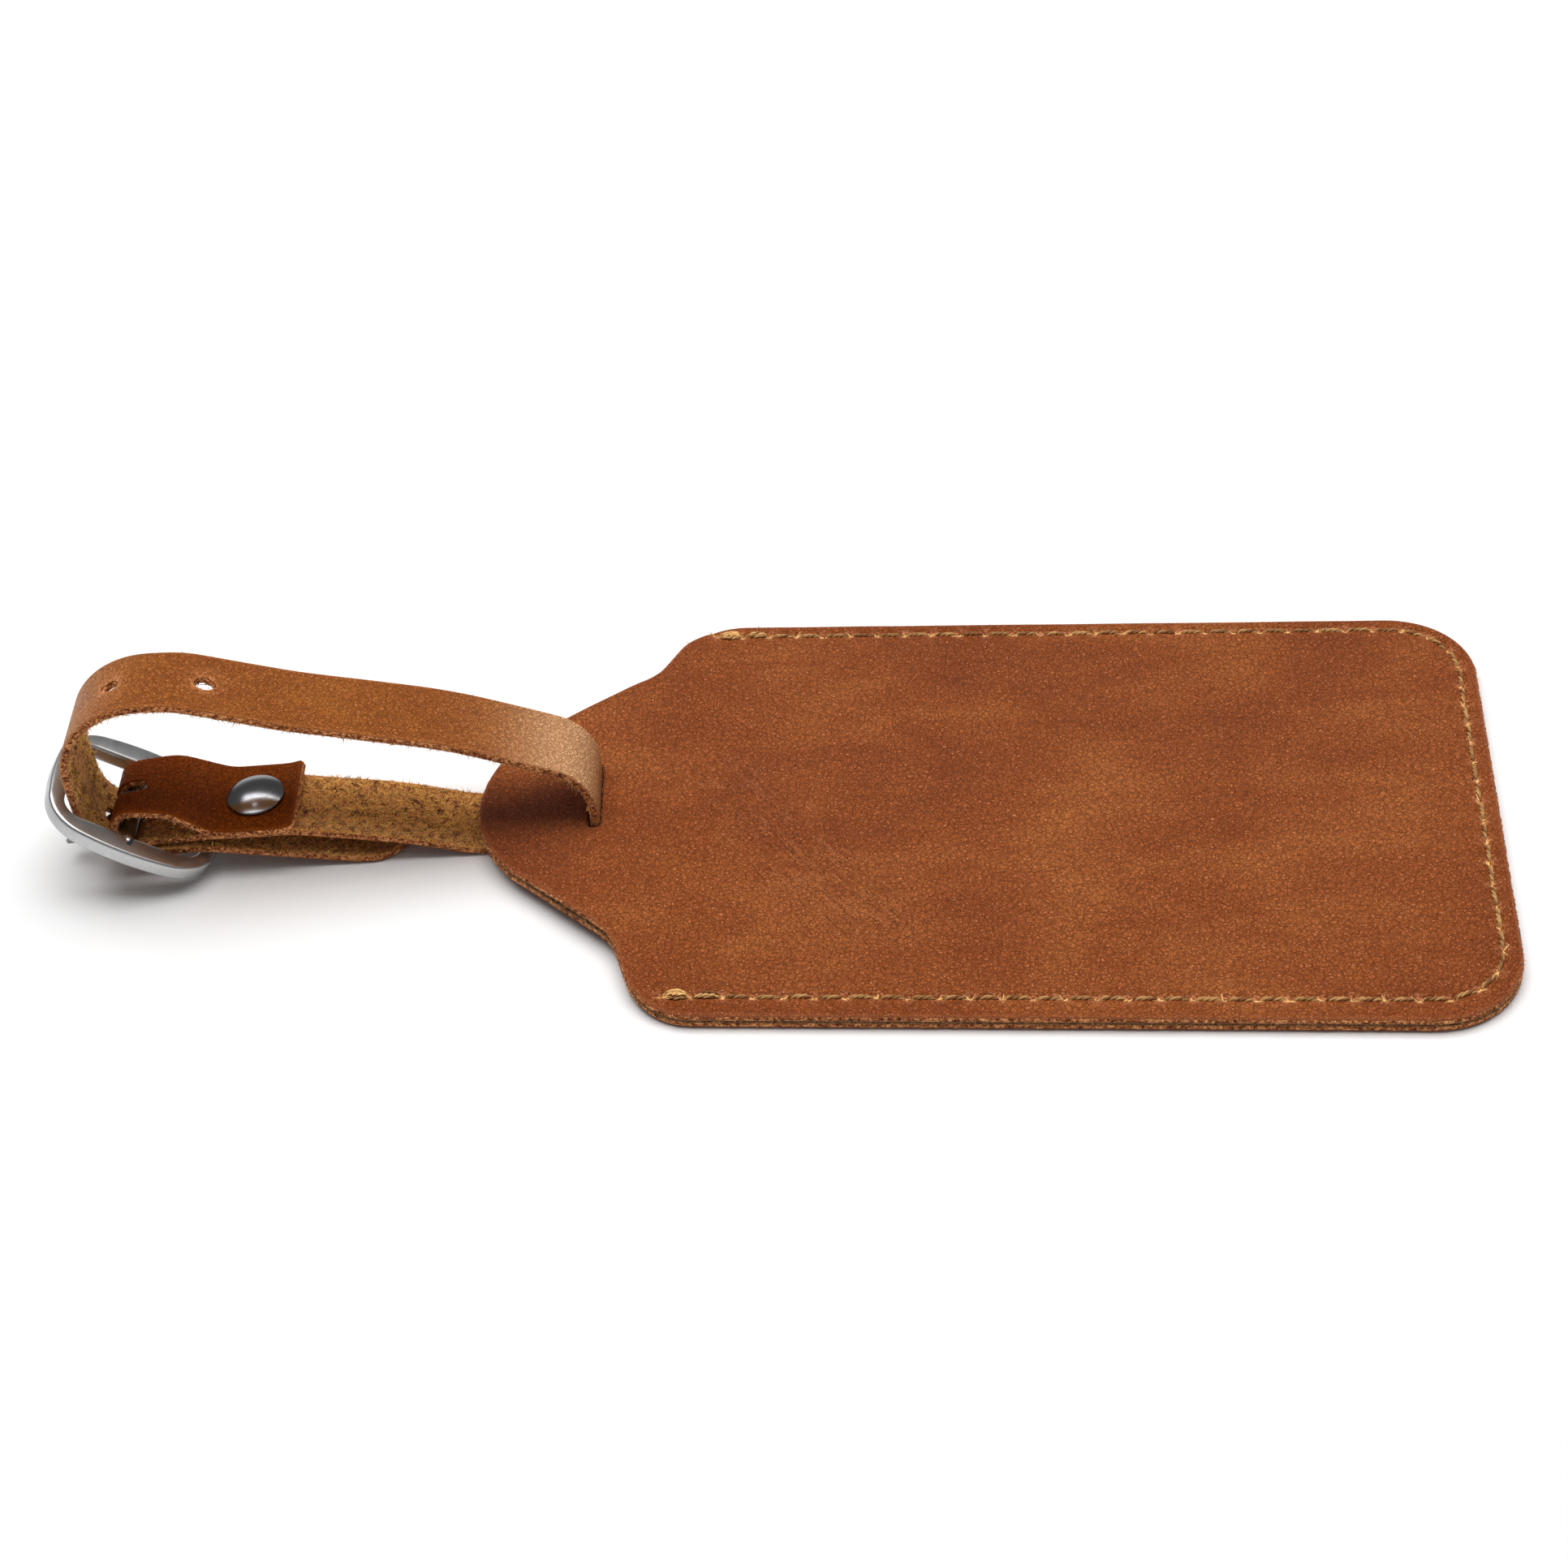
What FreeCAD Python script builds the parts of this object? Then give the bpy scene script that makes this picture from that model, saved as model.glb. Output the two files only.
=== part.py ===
"""Leather luggage tag with a looped strap, as separate pieces.

Two leather panels are sewn together on three sides and stay open at the neck, where an
address card slides in behind a clear window. A leather strap runs under the neck, up
through its slot and back over itself to a centre-bar buckle, which a domed rivet holds in
the strap's folded end.

Panels, card, film and threads are drawn in the tag's own frame: x runs from the neck's tip
to the far end, y = 0 is the middle, z = 0 is the surface that the tag lies on. The strap
and its hardware are drawn in the strap's frame, which stands on the middle of the slot and
is turned about Z. frame_shift then puts the middle of the whole object at x = 0.
"""
import FreeCAD
import Part

import math
import os

import Sketcher
from FreeCAD import Placement, Rotation, Vector

SIZES = {
    # whole tag
    "frame_shift": (36.17, "from the neck's tip to the middle of the whole object"),
    "tag_length": (125.0, "neck's tip to the far end"),
    "tag_width": (70.8, "across the body"),
    "corner_radius": (10.6, "far corners"),
    "leather": (1.1, "thickness of each panel"),
    "neck_radius": (17.0, "round end of the neck"),
    "neck_flare": (38.0, "angle of the neck's sides to the long axis"),
    "waist_at": (19.6, "where the neck's sides meet the shoulders"),
    "waist_radius": (8.0, "inside bend between neck and shoulder"),
    "shoulder_at": (24.1, "where the shoulders would meet the long sides"),
    "shoulder_radius": (9.0, "outside bend of the shoulders"),
    "neck_lift": (1.5, "the neck rides this high, over the strap under it"),
    "lift_starts": (25.2, "foot of the rise to the neck"),
    "lift_ends": (18.2, "top of the rise to the neck"),
    "lift_bend": (30.0, "bends of that rise"),
    # slot in the neck
    "slot_at": (14.6, "middle of the slot from the neck's tip"),
    "slot_width": (2.1, "along the tag"),
    "slot_length": (11.4, "across the tag"),
    # seam
    "seam_start": (26.3, "first stitch"),
    "seam_near": (3.1, "inset from the side at -y"),
    "seam_far": (1.9, "inset from the side at +y"),
    "seam_end": (2.1, "inset from the far end"),
    "seam_corner": (8.2, "corner radius of the seam"),
    "groove_width": (0.8, "stitching groove"),
    "groove_front": (0.3, "its depth in the front panel"),
    "groove_back": (0.55, "its depth in the back panel"),
    "thread": (0.5, "thread diameter"),
    "stitch_pitch": (3.6, "needle hole to needle hole"),
    "stitch_gap": (0.35, "between one stitch and the next"),
    # card, window and film
    "card_length": (85.0, "business card"),
    "card_width": (54.0, "business card"),
    "card_thick": (0.3, "card stock"),
    "card_end": (121.2, "far edge of the card"),
    "pocket_depth": (0.45, "skived into the front panel's inner face"),
    "pocket_start": (27.6, "open end of the pocket"),
    "window_length": (70.0, "opening in the back panel"),
    "window_width": (40.0, "opening in the back panel"),
    "window_corner": (5.0, "corner radius of the opening"),
    "window_at": (79.0, "middle of the opening"),
    "film_border": (4.0, "film beyond the opening"),
    "film_thick": (0.25, "clear film"),
    # strap
    "strap_yaw": (5.5, "the loop is swung this far about the slot"),
    "strap_thick": (1.1, "leather of the strap"),
    "strap_width": (10.2, "strap"),
    "flap_width": (12.2, "folded end of the strap"),
    "flap_end": (-36.8, "cut end of the flap"),
    "layer_gap": (0.1, "between flap and strap at the rivet"),
    "layer_height": (6.05, "mid-plane of the strap under the flap"),
    "strap_join": (-44.6, "the wide end gives way to the strap's own width"),
    "slot_bend": (0.95, "bend under the neck into the slot"),
    "return_bend": (7.0, "bend above the slot"),
    "loop_bend": (11.0, "bend at the loop's far end"),
    "tail_bend": (6.2, "bend through the buckle"),
    "long_bend": (60.0, "slow bends of the top run"),
    "soft_bend": (14.0, "slow bends near the buckle"),
    "firm_bend": (5.0, "bends beside the rivet"),
    "tail_tip": (-23.5, "rounded end of the tail"),
    "strap_low": (0.62, "mid-plane of the strap where it lies on the surface"),
    "hole_size": (2.6, "punched holes"),
    "hole_one": (101.3, "first hole, from the join along the strap"),
    "hole_two": (112.8, "second hole"),
    "hole_three": (124.3, "third hole"),
    "prong_hole_turn": (-18.6, "direction of the prong's hole from the bar"),
    "prong_hole_reach": (4.2, "prong's hole from the bar"),
    "slit_width": (2.2, "slit for the prong in the fold"),
    "slit_end": (-55.0, "end of that slit on the flap"),
    # buckle
    "bar_at": (-57.4, "centre bar, along the strap"),
    "bar_height": (7.6, "centre bar, above the surface"),
    "bar_radius": (1.2, "centre bar"),
    "fold_radius": (1.9, "mid-plane of the strap around the bar"),
    "buckle_pitch": (35.0, "tilt of the frame, far end up"),
    "buckle_long": (11.3, "half the frame along the strap"),
    "buckle_wide": (10.0, "half the frame across the strap"),
    "buckle_round": (6.0, "outer corners"),
    "buckle_end_arc": (22.0, "outer crown of the end bars"),
    "buckle_side_arc": (34.0, "outer crown of the side bars"),
    "buckle_end_slack": (0.8, "how far the ends fall back at the outer corners"),
    "buckle_side_slack": (1.8, "how far the sides fall back at the outer corners"),
    "opening_long": (9.0, "half the frame's opening along the strap"),
    "opening_wide": (6.45, "half the opening across the strap"),
    "opening_round": (2.6, "corners of the opening"),
    "opening_end_arc": (30.0, "crown of the opening's ends"),
    "opening_side_arc": (100.0, "crown of the opening's sides"),
    "opening_end_slack": (0.2, "how far the ends fall back at the opening's corners"),
    "opening_side_slack": (0.15, "how far the sides fall back at the opening's corners"),
    "buckle_thick": (2.2, "thickness of the frame"),
    "buckle_edge": (0.45, "rounding of the frame's edges"),
    "prong_wire": (0.65, "radius of the prong"),
    "prong_play": (0.05, "running gap between prong and bar"),
    "prong_length": (11.2, "bar to tip"),
    "prong_turn": (-27.0, "direction of the prong below the strap"),
    "prong_taper": (1.0, "bevelled length at the tip"),
    # rivet
    "rivet_at": (-42.2, "along the strap"),
    "rivet_radius": (3.6, "cap"),
    "rivet_rim": (0.45, "height of the cap's rim"),
    "rivet_dome": (0.95, "height of the dome above the rim"),
    "rivet_edge": (0.2, "rounding of the rivet's rims"),
    "rivet_crown": (2.4, "rounding of the dome"),
    "rivet_post": (1.2, "radius of the post"),
    "rivet_play": (0.08, "gap around post and pin"),
    "rivet_pin": (0.75, "radius of the base's pin"),
    "rivet_foot": (2.9, "radius of the base"),
    "rivet_foot_thick": (0.55, "thickness of the base"),
}

doc = FreeCAD.newDocument("luggage_tag")
sheet = doc.addObject("Spreadsheet::Sheet", "Sizes")
for row, (alias, (value, meaning)) in enumerate(SIZES.items(), 1):
    sheet.set(f"A{row}", meaning)
    sheet.set(f"B{row}", str(value))
    sheet.setAlias(f"B{row}", alias)
doc.recompute()


def size(alias):
    """A driving dimension, read from the sheet."""
    return float(sheet.get(alias))


# ---------------------------------------------------------------- outlines and routes
#
# An outline or a route is a list of corners (x, y, radius, rule). A corner with a radius is
# rounded by a tangent arc, and rule is the sheet expression for that radius, or None.

def corner(x, y, alias=None):
    """A corner rounded by the radius that the sheet holds under this alias."""
    if alias is None:
        return (x, y, 0.0, None)
    return (x, y, size(alias), f"Sizes.{alias}")


def unit(start, end):
    dx, dy = end[0] - start[0], end[1] - start[1]
    length = math.hypot(dx, dy)
    return dx / length, dy / length


def offset_route(route, distance, rule):
    """The route moved sideways to its left; rule is the sheet expression for the distance."""
    moved = []
    last = len(route) - 1
    for index, (x, y, radius, expression) in enumerate(route):
        before = unit(route[max(index - 1, 0)], route[max(index, 1)])
        after = unit(route[min(index, last - 1)], route[min(index + 1, last)])
        share = distance / (1 + before[0] * after[0] + before[1] * after[1])
        left = before[0] * after[1] - before[1] * after[0] > 0
        if radius:
            radius += -distance if left else distance
            expression = f"{expression} {'-' if left else '+'} ({rule})" if expression else None
        moved.append((x - (before[1] + after[1]) * share, y + (before[0] + after[0]) * share,
                      radius, expression))
    return moved


def band(route, width_rule, width):
    """Closed outline of a strip of this width that follows the route."""
    left = offset_route(route, width / 2, f"{width_rule} / 2")
    right = offset_route(route, -width / 2, f"-{width_rule} / 2")
    return left + right[::-1]


def rounding(previous, here, following):
    """Start, centre and end of the arc that rounds a corner; the centre is None at a sharp one."""
    before, after = unit(previous, here), unit(here, following)
    x, y, radius = here[:3]
    half = math.acos(max(-1.0, min(1.0, before[0] * after[0] + before[1] * after[1]))) / 2
    if radius == 0 or half < 1e-6:
        return (x, y), None, (x, y)
    reach = radius * math.tan(half)
    inward = unit(before, after)
    depth = radius / math.cos(half)
    return ((x - before[0] * reach, y - before[1] * reach),
            (x + inward[0] * depth, y + inward[1] * depth),
            (x + after[0] * reach, y + after[1] * reach))


def draw(sketch, corners):
    """Adds a closed outline of lines and tangent arcs, its radii bound to the sheet."""
    count = len(corners)
    rounds = [rounding(corners[i - 1], corners[i], corners[(i + 1) % count]) for i in range(count)]
    pieces = []                 # (geometry index, position of its start, position of its end)
    for i in range(count):
        start, centre, end = rounds[i]
        if centre:
            angles = [math.atan2(point[1] - centre[1], point[0] - centre[0]) for point in (start, end)]
            left = math.sin(angles[1] - angles[0]) > 0
            low, high = angles if left else angles[::-1]
            round_line = Part.Circle(Vector(*centre, 0), Vector(0, 0, 1), corners[i][2])
            high += 2 * math.pi if high < low else 0
            index = sketch.addGeometry(Part.ArcOfCircle(round_line, low, high))
            pieces.append((index, 1, 2) if left else (index, 2, 1))
            if corners[i][3]:
                name = f"radius_{index}"
                number = sketch.addConstraint(Sketcher.Constraint("Radius", index, corners[i][2]))
                sketch.renameConstraint(number, name)
                sketch.setExpression(f"Constraints.{name}", corners[i][3])
        following = rounds[(i + 1) % count][0]
        if math.dist(end, following) > 1e-6:
            index = sketch.addGeometry(Part.LineSegment(Vector(*end, 0), Vector(*following, 0)))
            pieces.append((index, 1, 2))
    kinds = [type(sketch.Geometry[index]).__name__ for index, _, _ in pieces]
    for i, (index, _, tail) in enumerate(pieces):
        follower, head, _ = pieces[(i + 1) % len(pieces)]
        curved = "ArcOfCircle" in (kinds[i], kinds[(i + 1) % len(pieces)])
        kind = "Tangent" if curved else "Coincident"
        sketch.addConstraint(Sketcher.Constraint(kind, index, tail, follower, head))
    return sketch


def route_spot(route, distance):
    """Point and direction on a rounded route, at a distance from its start."""
    rounds = [rounding(route[i - 1], route[i], route[i + 1]) for i in range(1, len(route) - 1)]
    rounds = [(route[0][:2], None, route[0][:2])] + rounds + [(route[-1][:2], None, route[-1][:2])]
    for i, (start, rounded, end) in enumerate(rounds):
        if rounded:
            before, after = unit(route[i - 1], route[i]), unit(route[i], route[i + 1])
            turn = math.atan2(before[0] * after[1] - before[1] * after[0],
                              before[0] * after[0] + before[1] * after[1])
            radius = route[i][2]
            if distance <= abs(turn) * radius:
                angle = math.copysign(distance / radius, turn)
                side = math.copysign(radius, turn)
                direction = (before[0] * math.cos(angle) - before[1] * math.sin(angle),
                             before[1] * math.cos(angle) + before[0] * math.sin(angle))
                centre = (start[0] - before[1] * side, start[1] + before[0] * side)
                return (centre[0] + direction[1] * side, centre[1] - direction[0] * side), direction
            distance -= abs(turn) * radius
        if i + 1 == len(rounds):
            return end, unit(route[i - 1], route[i])
        run = math.dist(end, rounds[i + 1][0])
        if distance <= run:
            direction = unit(route[i], route[i + 1])
            return (end[0] + direction[0] * distance, end[1] + direction[1] * distance), direction
        distance -= run


# ---------------------------------------------------------------- PartDesign helpers

def new_body(label):
    body = doc.addObject("PartDesign::Body", label)
    body.Label = label
    return body


def new_sketch(body, name, plane="XY_Plane", height=None):
    """A sketch on one of the body's own origin planes, raised by a sheet expression."""
    sketch = body.newObject("Sketcher::SketchObject", name)
    planes = {feature.Role: feature for feature in body.Origin.OriginFeatures}
    sketch.AttachmentSupport = (planes[plane], "")
    sketch.MapMode = "FlatFace"
    if height:
        sketch.setExpression("AttachmentOffset.Base.z", height)
    return sketch


def add_pad(body, name, sketch, length, symmetric=False):
    pad = body.newObject("PartDesign::Pad", name)
    pad.Profile = sketch
    pad.setExpression("Length", length)
    pad.Midplane = symmetric
    doc.recompute()
    return pad


def add_pocket(body, name, sketch, length=None, upward=False):
    """A pocket; with no length it goes right through, both ways."""
    before = body.Shape.Volume
    pocket = body.newObject("PartDesign::Pocket", name)
    pocket.Profile = sketch
    if length:
        pocket.setExpression("Length", length)
        pocket.Reversed = upward
    else:
        pocket.Type = "ThroughAll"
        pocket.Midplane = True
    doc.recompute()
    if body.Shape.Volume >= before - 1e-6:
        raise RuntimeError(f"{name} cuts nothing")
    return pocket


def place(item, frame):
    item.Placement = frame
    return item


tag_frame = Placement(Vector(-size("frame_shift"), 0, 0), Rotation())
strap_frame = Placement(Vector(size("slot_at") - size("frame_shift"), 0, 0),
                        Rotation(Vector(0, 0, 1), size("strap_yaw")))


# ---------------------------------------------------------------- outline of the panels

def rectangle(x_low, x_high, y_low, y_high, alias=None):
    return [corner(x_low, y_low, alias), corner(x_high, y_low, alias),
            corner(x_high, y_high, alias), corner(x_low, y_high, alias)]


def panel_outline():
    """Seen from above: round neck, flaring sides, steep shoulders and a long rounded body."""
    flare = math.radians(size("neck_flare"))
    neck = size("neck_radius")
    half = size("tag_width") / 2
    # one arc rounds the tip, and the flare's two sides run off it at a tangent
    touch_x = neck * (1 - math.sin(flare))
    touch_y = neck * math.cos(flare)
    tip_y = touch_y - touch_x * math.tan(flare)
    waist_y = touch_y + (size("waist_at") - touch_x) * math.tan(flare)
    side = [corner(0, tip_y, "neck_radius"),
            corner(size("waist_at"), waist_y, "waist_radius"),
            corner(size("shoulder_at"), half, "shoulder_radius"),
            corner(size("tag_length"), half, "corner_radius")]
    mirrored = [(x, -y, radius, rule) for x, y, radius, rule in side]
    return side[::-1] + mirrored


def panel_body(label, side):
    """One leather panel: a bent slab trimmed to the outline, with the strap's slot.

    side is 1 for the panel above the surface where the two meet, and -1 for the one below."""
    body = new_body(label)
    leather, lift = size("leather"), size("neck_lift")
    margin = 5.0
    meeting = [corner(-margin, leather + lift),
               corner(size("lift_ends"), leather + lift, "lift_bend"),
               corner(size("lift_starts"), leather, "lift_bend"),
               corner(size("tag_length") + margin, leather)]
    middle = offset_route(meeting, side * leather / 2, f"{side} * Sizes.leather / 2")
    section = draw(new_sketch(body, f"{label}_side", "XZ_Plane"), band(middle, "Sizes.leather", leather))
    add_pad(body, f"{label}_slab", section, f"Sizes.tag_width + {2 * margin}", symmetric=True)
    trim = new_sketch(body, f"{label}_outline")
    reach = size("tag_width")
    draw(trim, rectangle(-2 * margin, size("tag_length") + 2 * margin, -reach, reach))
    draw(trim, panel_outline())
    add_pocket(body, f"{label}_trim", trim)
    slot = new_sketch(body, f"{label}_slot_sketch")
    slot.AttachmentOffset = Placement(Vector(size("slot_at"), 0, 0), Rotation(Vector(0, 0, 1), size("strap_yaw")))
    draw(slot, rectangle(-size("slot_width") / 2, size("slot_width") / 2,
                         -size("slot_length") / 2, size("slot_length") / 2))
    add_pocket(body, f"{label}_slot", slot)
    return body


def seam_route():
    """The stitching line, from the near shoulder round the far end to the far shoulder."""
    half = size("tag_width") / 2
    near, far = -half + size("seam_near"), half - size("seam_far")
    end = size("tag_length") - size("seam_end")
    return [corner(size("seam_start"), near), corner(end, near, "seam_corner"),
            corner(end, far, "seam_corner"), corner(size("seam_start"), far)]


def seam_groove(body, label, height, depth, upward):
    """Shallow channel that the stitches lie in."""
    start, *turns, finish = seam_route()
    before_start = (start[0] - size("groove_width"),) + start[1:]
    after_finish = (finish[0] - size("groove_width"),) + finish[1:]
    sketch = new_sketch(body, f"{label}_seam", height=height)
    draw(sketch, band([before_start] + turns + [after_finish], "Sizes.groove_width", size("groove_width")))
    add_pocket(body, f"{label}_groove", sketch, depth, upward)


# ---------------------------------------------------------------- panels, film and card

front = panel_body("front_panel", 1)
seam_groove(front, "front_panel", "2 * Sizes.leather - Sizes.groove_front", "Sizes.leather", upward=True)
pocket_sketch = new_sketch(front, "front_panel_pocket_sketch", height="Sizes.leather + Sizes.pocket_depth")
pocket_half = size("card_width") / 2 + 0.8
draw(pocket_sketch, rectangle(size("pocket_start"), size("card_end") + 0.4, -pocket_half, pocket_half))
add_pocket(front, "front_panel_pocket", pocket_sketch, "Sizes.leather")
place(front, tag_frame)

back = panel_body("back_panel", -1)
seam_groove(back, "back_panel", "Sizes.groove_back", "Sizes.leather", upward=False)


def window_outline(border, alias):
    half_length = size("window_length") / 2 + border
    half_width = size("window_width") / 2 + border
    return rectangle(size("window_at") - half_length, size("window_at") + half_length,
                     -half_width, half_width, alias)


window_sketch = new_sketch(back, "back_panel_window_sketch")
draw(window_sketch, window_outline(0, "window_corner"))
add_pocket(back, "back_panel_window", window_sketch)
rebate_sketch = new_sketch(back, "back_panel_rebate_sketch", height="Sizes.leather - Sizes.film_thick - 0.05")
draw(rebate_sketch, window_outline(size("film_border") + 0.1, "window_corner"))
add_pocket(back, "back_panel_rebate", rebate_sketch, "Sizes.leather", upward=True)
place(back, tag_frame)

film = new_body("window_film")
film_sketch = new_sketch(film, "window_film_outline", height="Sizes.leather - Sizes.film_thick - 0.03")
draw(film_sketch, window_outline(size("film_border"), "window_corner"))
add_pad(film, "window_film_sheet", film_sketch, "Sizes.film_thick")
place(film, tag_frame)

card = new_body("address_card")
card_sketch = new_sketch(card, "address_card_outline", height="Sizes.leather + 0.06")
draw(card_sketch, rectangle(size("card_end") - size("card_length"), size("card_end"),
                            -size("card_width") / 2, size("card_width") / 2))
add_pad(card, "address_card_sheet", card_sketch, "Sizes.card_thick")
place(card, tag_frame)


# ---------------------------------------------------------------- threads

def stitch(centre, direction, height, length):
    """One stitch: a short rod with round ends, lying along the seam."""
    radius = size("thread") / 2
    along = Vector(direction[0], direction[1], 0)
    middle = Vector(centre[0], centre[1], height)
    start = middle - along * (length / 2 - radius)
    rod = Part.makeCylinder(radius, length - 2 * radius, start, along)
    end = middle + along * (length / 2 - radius)
    return rod.fuse([Part.makeSphere(radius, start), Part.makeSphere(radius, end)]).removeSplitter()


def seam_stitches(height, backtack):
    """Every stitch of one thread; backtack adds the doubled stitches at both ends."""
    route = seam_route()
    pitch, gap = size("stitch_pitch"), size("stitch_gap")
    total = 0.0
    for (x0, y0, *_), (x1, y1, *_) in zip(route, route[1:]):
        total += math.dist((x0, y0), (x1, y1))
    total -= 2 * size("seam_corner") * (2 - math.pi / 2)
    count = round(total / pitch)
    step = total / count
    stitches = []
    for number in range(count):
        spot, direction = route_spot(route, (number + 0.5) * step)
        stitches.append(stitch(spot, direction, height, step - gap))
    if backtack:
        for number in (0, 1, count - 2, count - 1):
            spot, direction = route_spot(route, (number + 0.5) * step)
            lifted = height + size("thread") + 0.02
            stitches.append(stitch(spot, direction, lifted, step - gap))
    return Part.makeCompound(stitches)


def add_thread(label, height, backtack):
    thread = doc.addObject("Part::Feature", label)
    thread.Label = label
    thread.Shape = seam_stitches(height, backtack)
    return place(thread, tag_frame)


radius = size("thread") / 2
front_seam = 2 * size("leather") - size("groove_front")
add_thread("needle_thread", front_seam + radius + 0.02, backtack=True)
add_thread("bobbin_thread", size("groove_back") - radius - 0.02, backtack=False)


# ---------------------------------------------------------------- strap

def strap_routes():
    """Mid-lines of the strap seen from the side, in (along, up).

    The wide end runs from the flap's cut edge round the buckle's bar; the rest of the strap
    goes on from there to the tail's tip."""
    low, layer = size("strap_low"), size("layer_height")
    flap = layer + size("strap_thick") + size("layer_gap")
    bar, height, fold = size("bar_at"), size("bar_height"), size("fold_radius")
    join = corner(size("strap_join"), layer)
    wide = [
        corner(size("flap_end"), flap + 0.3),
        corner(-38.2, flap, "firm_bend"),
        corner(-46.9, flap, "firm_bend"),
        corner(-51.4, height + fold, "firm_bend"),
        corner(bar - fold, height + fold, "fold_radius"),
        corner(bar - fold, height - fold, "fold_radius"),
        corner(-52.0, height - fold, "soft_bend"),
        corner(-48.5, layer, "soft_bend"),
        join,
    ]
    run = [
        join,
        # down to the surface and under the neck
        corner(-37.4, layer, "soft_bend"),
        corner(-24.2, 3.5, "long_bend"),
        corner(-15.4, low, "soft_bend"),
        # up through the slot and back over the top
        corner(0.0, low, "slot_bend"),
        corner(0.35, 11.0, "return_bend"),
        corner(-16.2, 18.15, "long_bend"),
        corner(-34.7, 22.85, "long_bend"),
        corner(-47.7, 27.2, "soft_bend"),
        # down through the buckle's far opening, under its bar and out along the surface
        corner(-63.05, 27.7, "loop_bend"),
        corner(-62.95, 4.2, "tail_bend"),
        corner(-48.7, 4.25, "soft_bend"),
        corner(-29.7, low, "soft_bend"),
        corner(size("tail_tip"), low),
    ]
    return wide, run


WIDE_ROUTE, RUN_ROUTE = strap_routes()


def drill(body, name, radius, length, centre, direction):
    """A round hole through a body, with the middle of the cutter at centre."""
    before = body.Shape.Volume
    cutter = body.newObject("PartDesign::SubtractiveCylinder", name)
    cutter.setExpression("Radius", radius)
    cutter.Height = length
    turn = Rotation(Vector(0, 0, 1), Vector(*direction))
    cutter.Placement = Placement(Vector(*centre) - turn.multVec(Vector(0, 0, length / 2)), turn)
    doc.recompute()
    if body.Shape.Volume >= before - 1e-6:
        raise RuntimeError(f"{name} cuts nothing")
    return cutter


def punch(body, name, distance):
    """A round hole through the strap's run, at a distance from the join."""
    (along, up), (step_along, step_up) = route_spot(RUN_ROUTE, distance)
    drill(body, name, "Sizes.hole_size / 2", 3 * size("strap_thick"), (along, 0, up), (-step_up, 0, step_along))


strap = new_body("strap")
for name, route, width in (("wide", WIDE_ROUTE, "Sizes.flap_width"), ("run", RUN_ROUTE, "Sizes.strap_width")):
    side = new_sketch(strap, f"strap_{name}_side", "XZ_Plane")
    draw(side, band(route, "Sizes.strap_thick", size("strap_thick")))
    add_pad(strap, f"strap_{name}_ribbon", side, width, symmetric=True)

# the tail's tip is round: everything past a half circle goes
half_run = size("strap_width") / 2
tip_x = size("tail_tip")
tip = new_sketch(strap, "strap_tip_sketch", height="Sizes.strap_low + Sizes.strap_thick")
tip_centre = Vector(tip_x - half_run, 0, 0)
quarter = math.pi / 2
tip.addGeometry(Part.ArcOfCircle(Part.Circle(tip_centre, Vector(0, 0, 1), half_run), -quarter, quarter))
corners_past = [(tip_x - half_run, half_run), (tip_x - half_run, half_run + 1), (tip_x + 1, half_run + 1),
                (tip_x + 1, -half_run - 1), (tip_x - half_run, -half_run - 1), (tip_x - half_run, -half_run)]
for start, end in zip(corners_past, corners_past[1:]):
    tip.addGeometry(Part.LineSegment(Vector(*start, 0), Vector(*end, 0)))
add_pocket(strap, "strap_tip", tip, "2 * Sizes.strap_thick")

# punched holes: two on top, one in the far bend, and the one that the prong goes through
for number, alias in enumerate(("hole_one", "hole_two", "hole_three"), 1):
    punch(strap, f"strap_hole_{number}", size(alias))
turn = math.radians(size("prong_hole_turn"))
reach = size("prong_hole_reach")
drill(strap, "strap_prong_hole", "Sizes.hole_size / 2", 3.0,
      (size("bar_at") - reach * math.cos(turn), 0, size("bar_height") + reach * math.sin(turn)),
      (math.cos(turn), 0, -math.sin(turn)))

# slit in the fold, where the prong's eye goes round the bar
bar_centre = Vector(size("bar_at"), 0, size("bar_height"))
drill(strap, "strap_fold_slit", "Sizes.bar_radius + 2 * Sizes.prong_wire + 0.22", size("slit_width"),
      bar_centre, (0, 1, 0))
slit = strap.newObject("PartDesign::SubtractiveBox", "strap_flap_slit")
slit.setExpression("Length", "Sizes.slit_end - Sizes.bar_at")
slit.setExpression("Width", "Sizes.slit_width")
slit.Height = 4.0
slit.Placement = Placement(bar_centre - Vector(0, size("slit_width") / 2, 0), Rotation())
doc.recompute()

# one hole for the rivet through flap and strap
drill(strap, "strap_rivet_hole", "Sizes.rivet_post + Sizes.rivet_play", 5.0,
      (size("rivet_at"), 0, size("layer_height") + size("strap_thick") / 2), (0, 0, 1))
place(strap, strap_frame)


# ---------------------------------------------------------------- rivet

def turned_body(label, corners):
    """A piece turned about the vertical axis, from its half section in (radius, up)."""
    body = new_body(label)
    sketch = draw(new_sketch(body, f"{label}_section", "XZ_Plane"), corners)
    revolution = body.newObject("PartDesign::Revolution", f"{label}_turned")
    revolution.Profile = sketch
    revolution.ReferenceAxis = (sketch, ["V_Axis"])
    doc.recompute()
    return body


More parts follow.
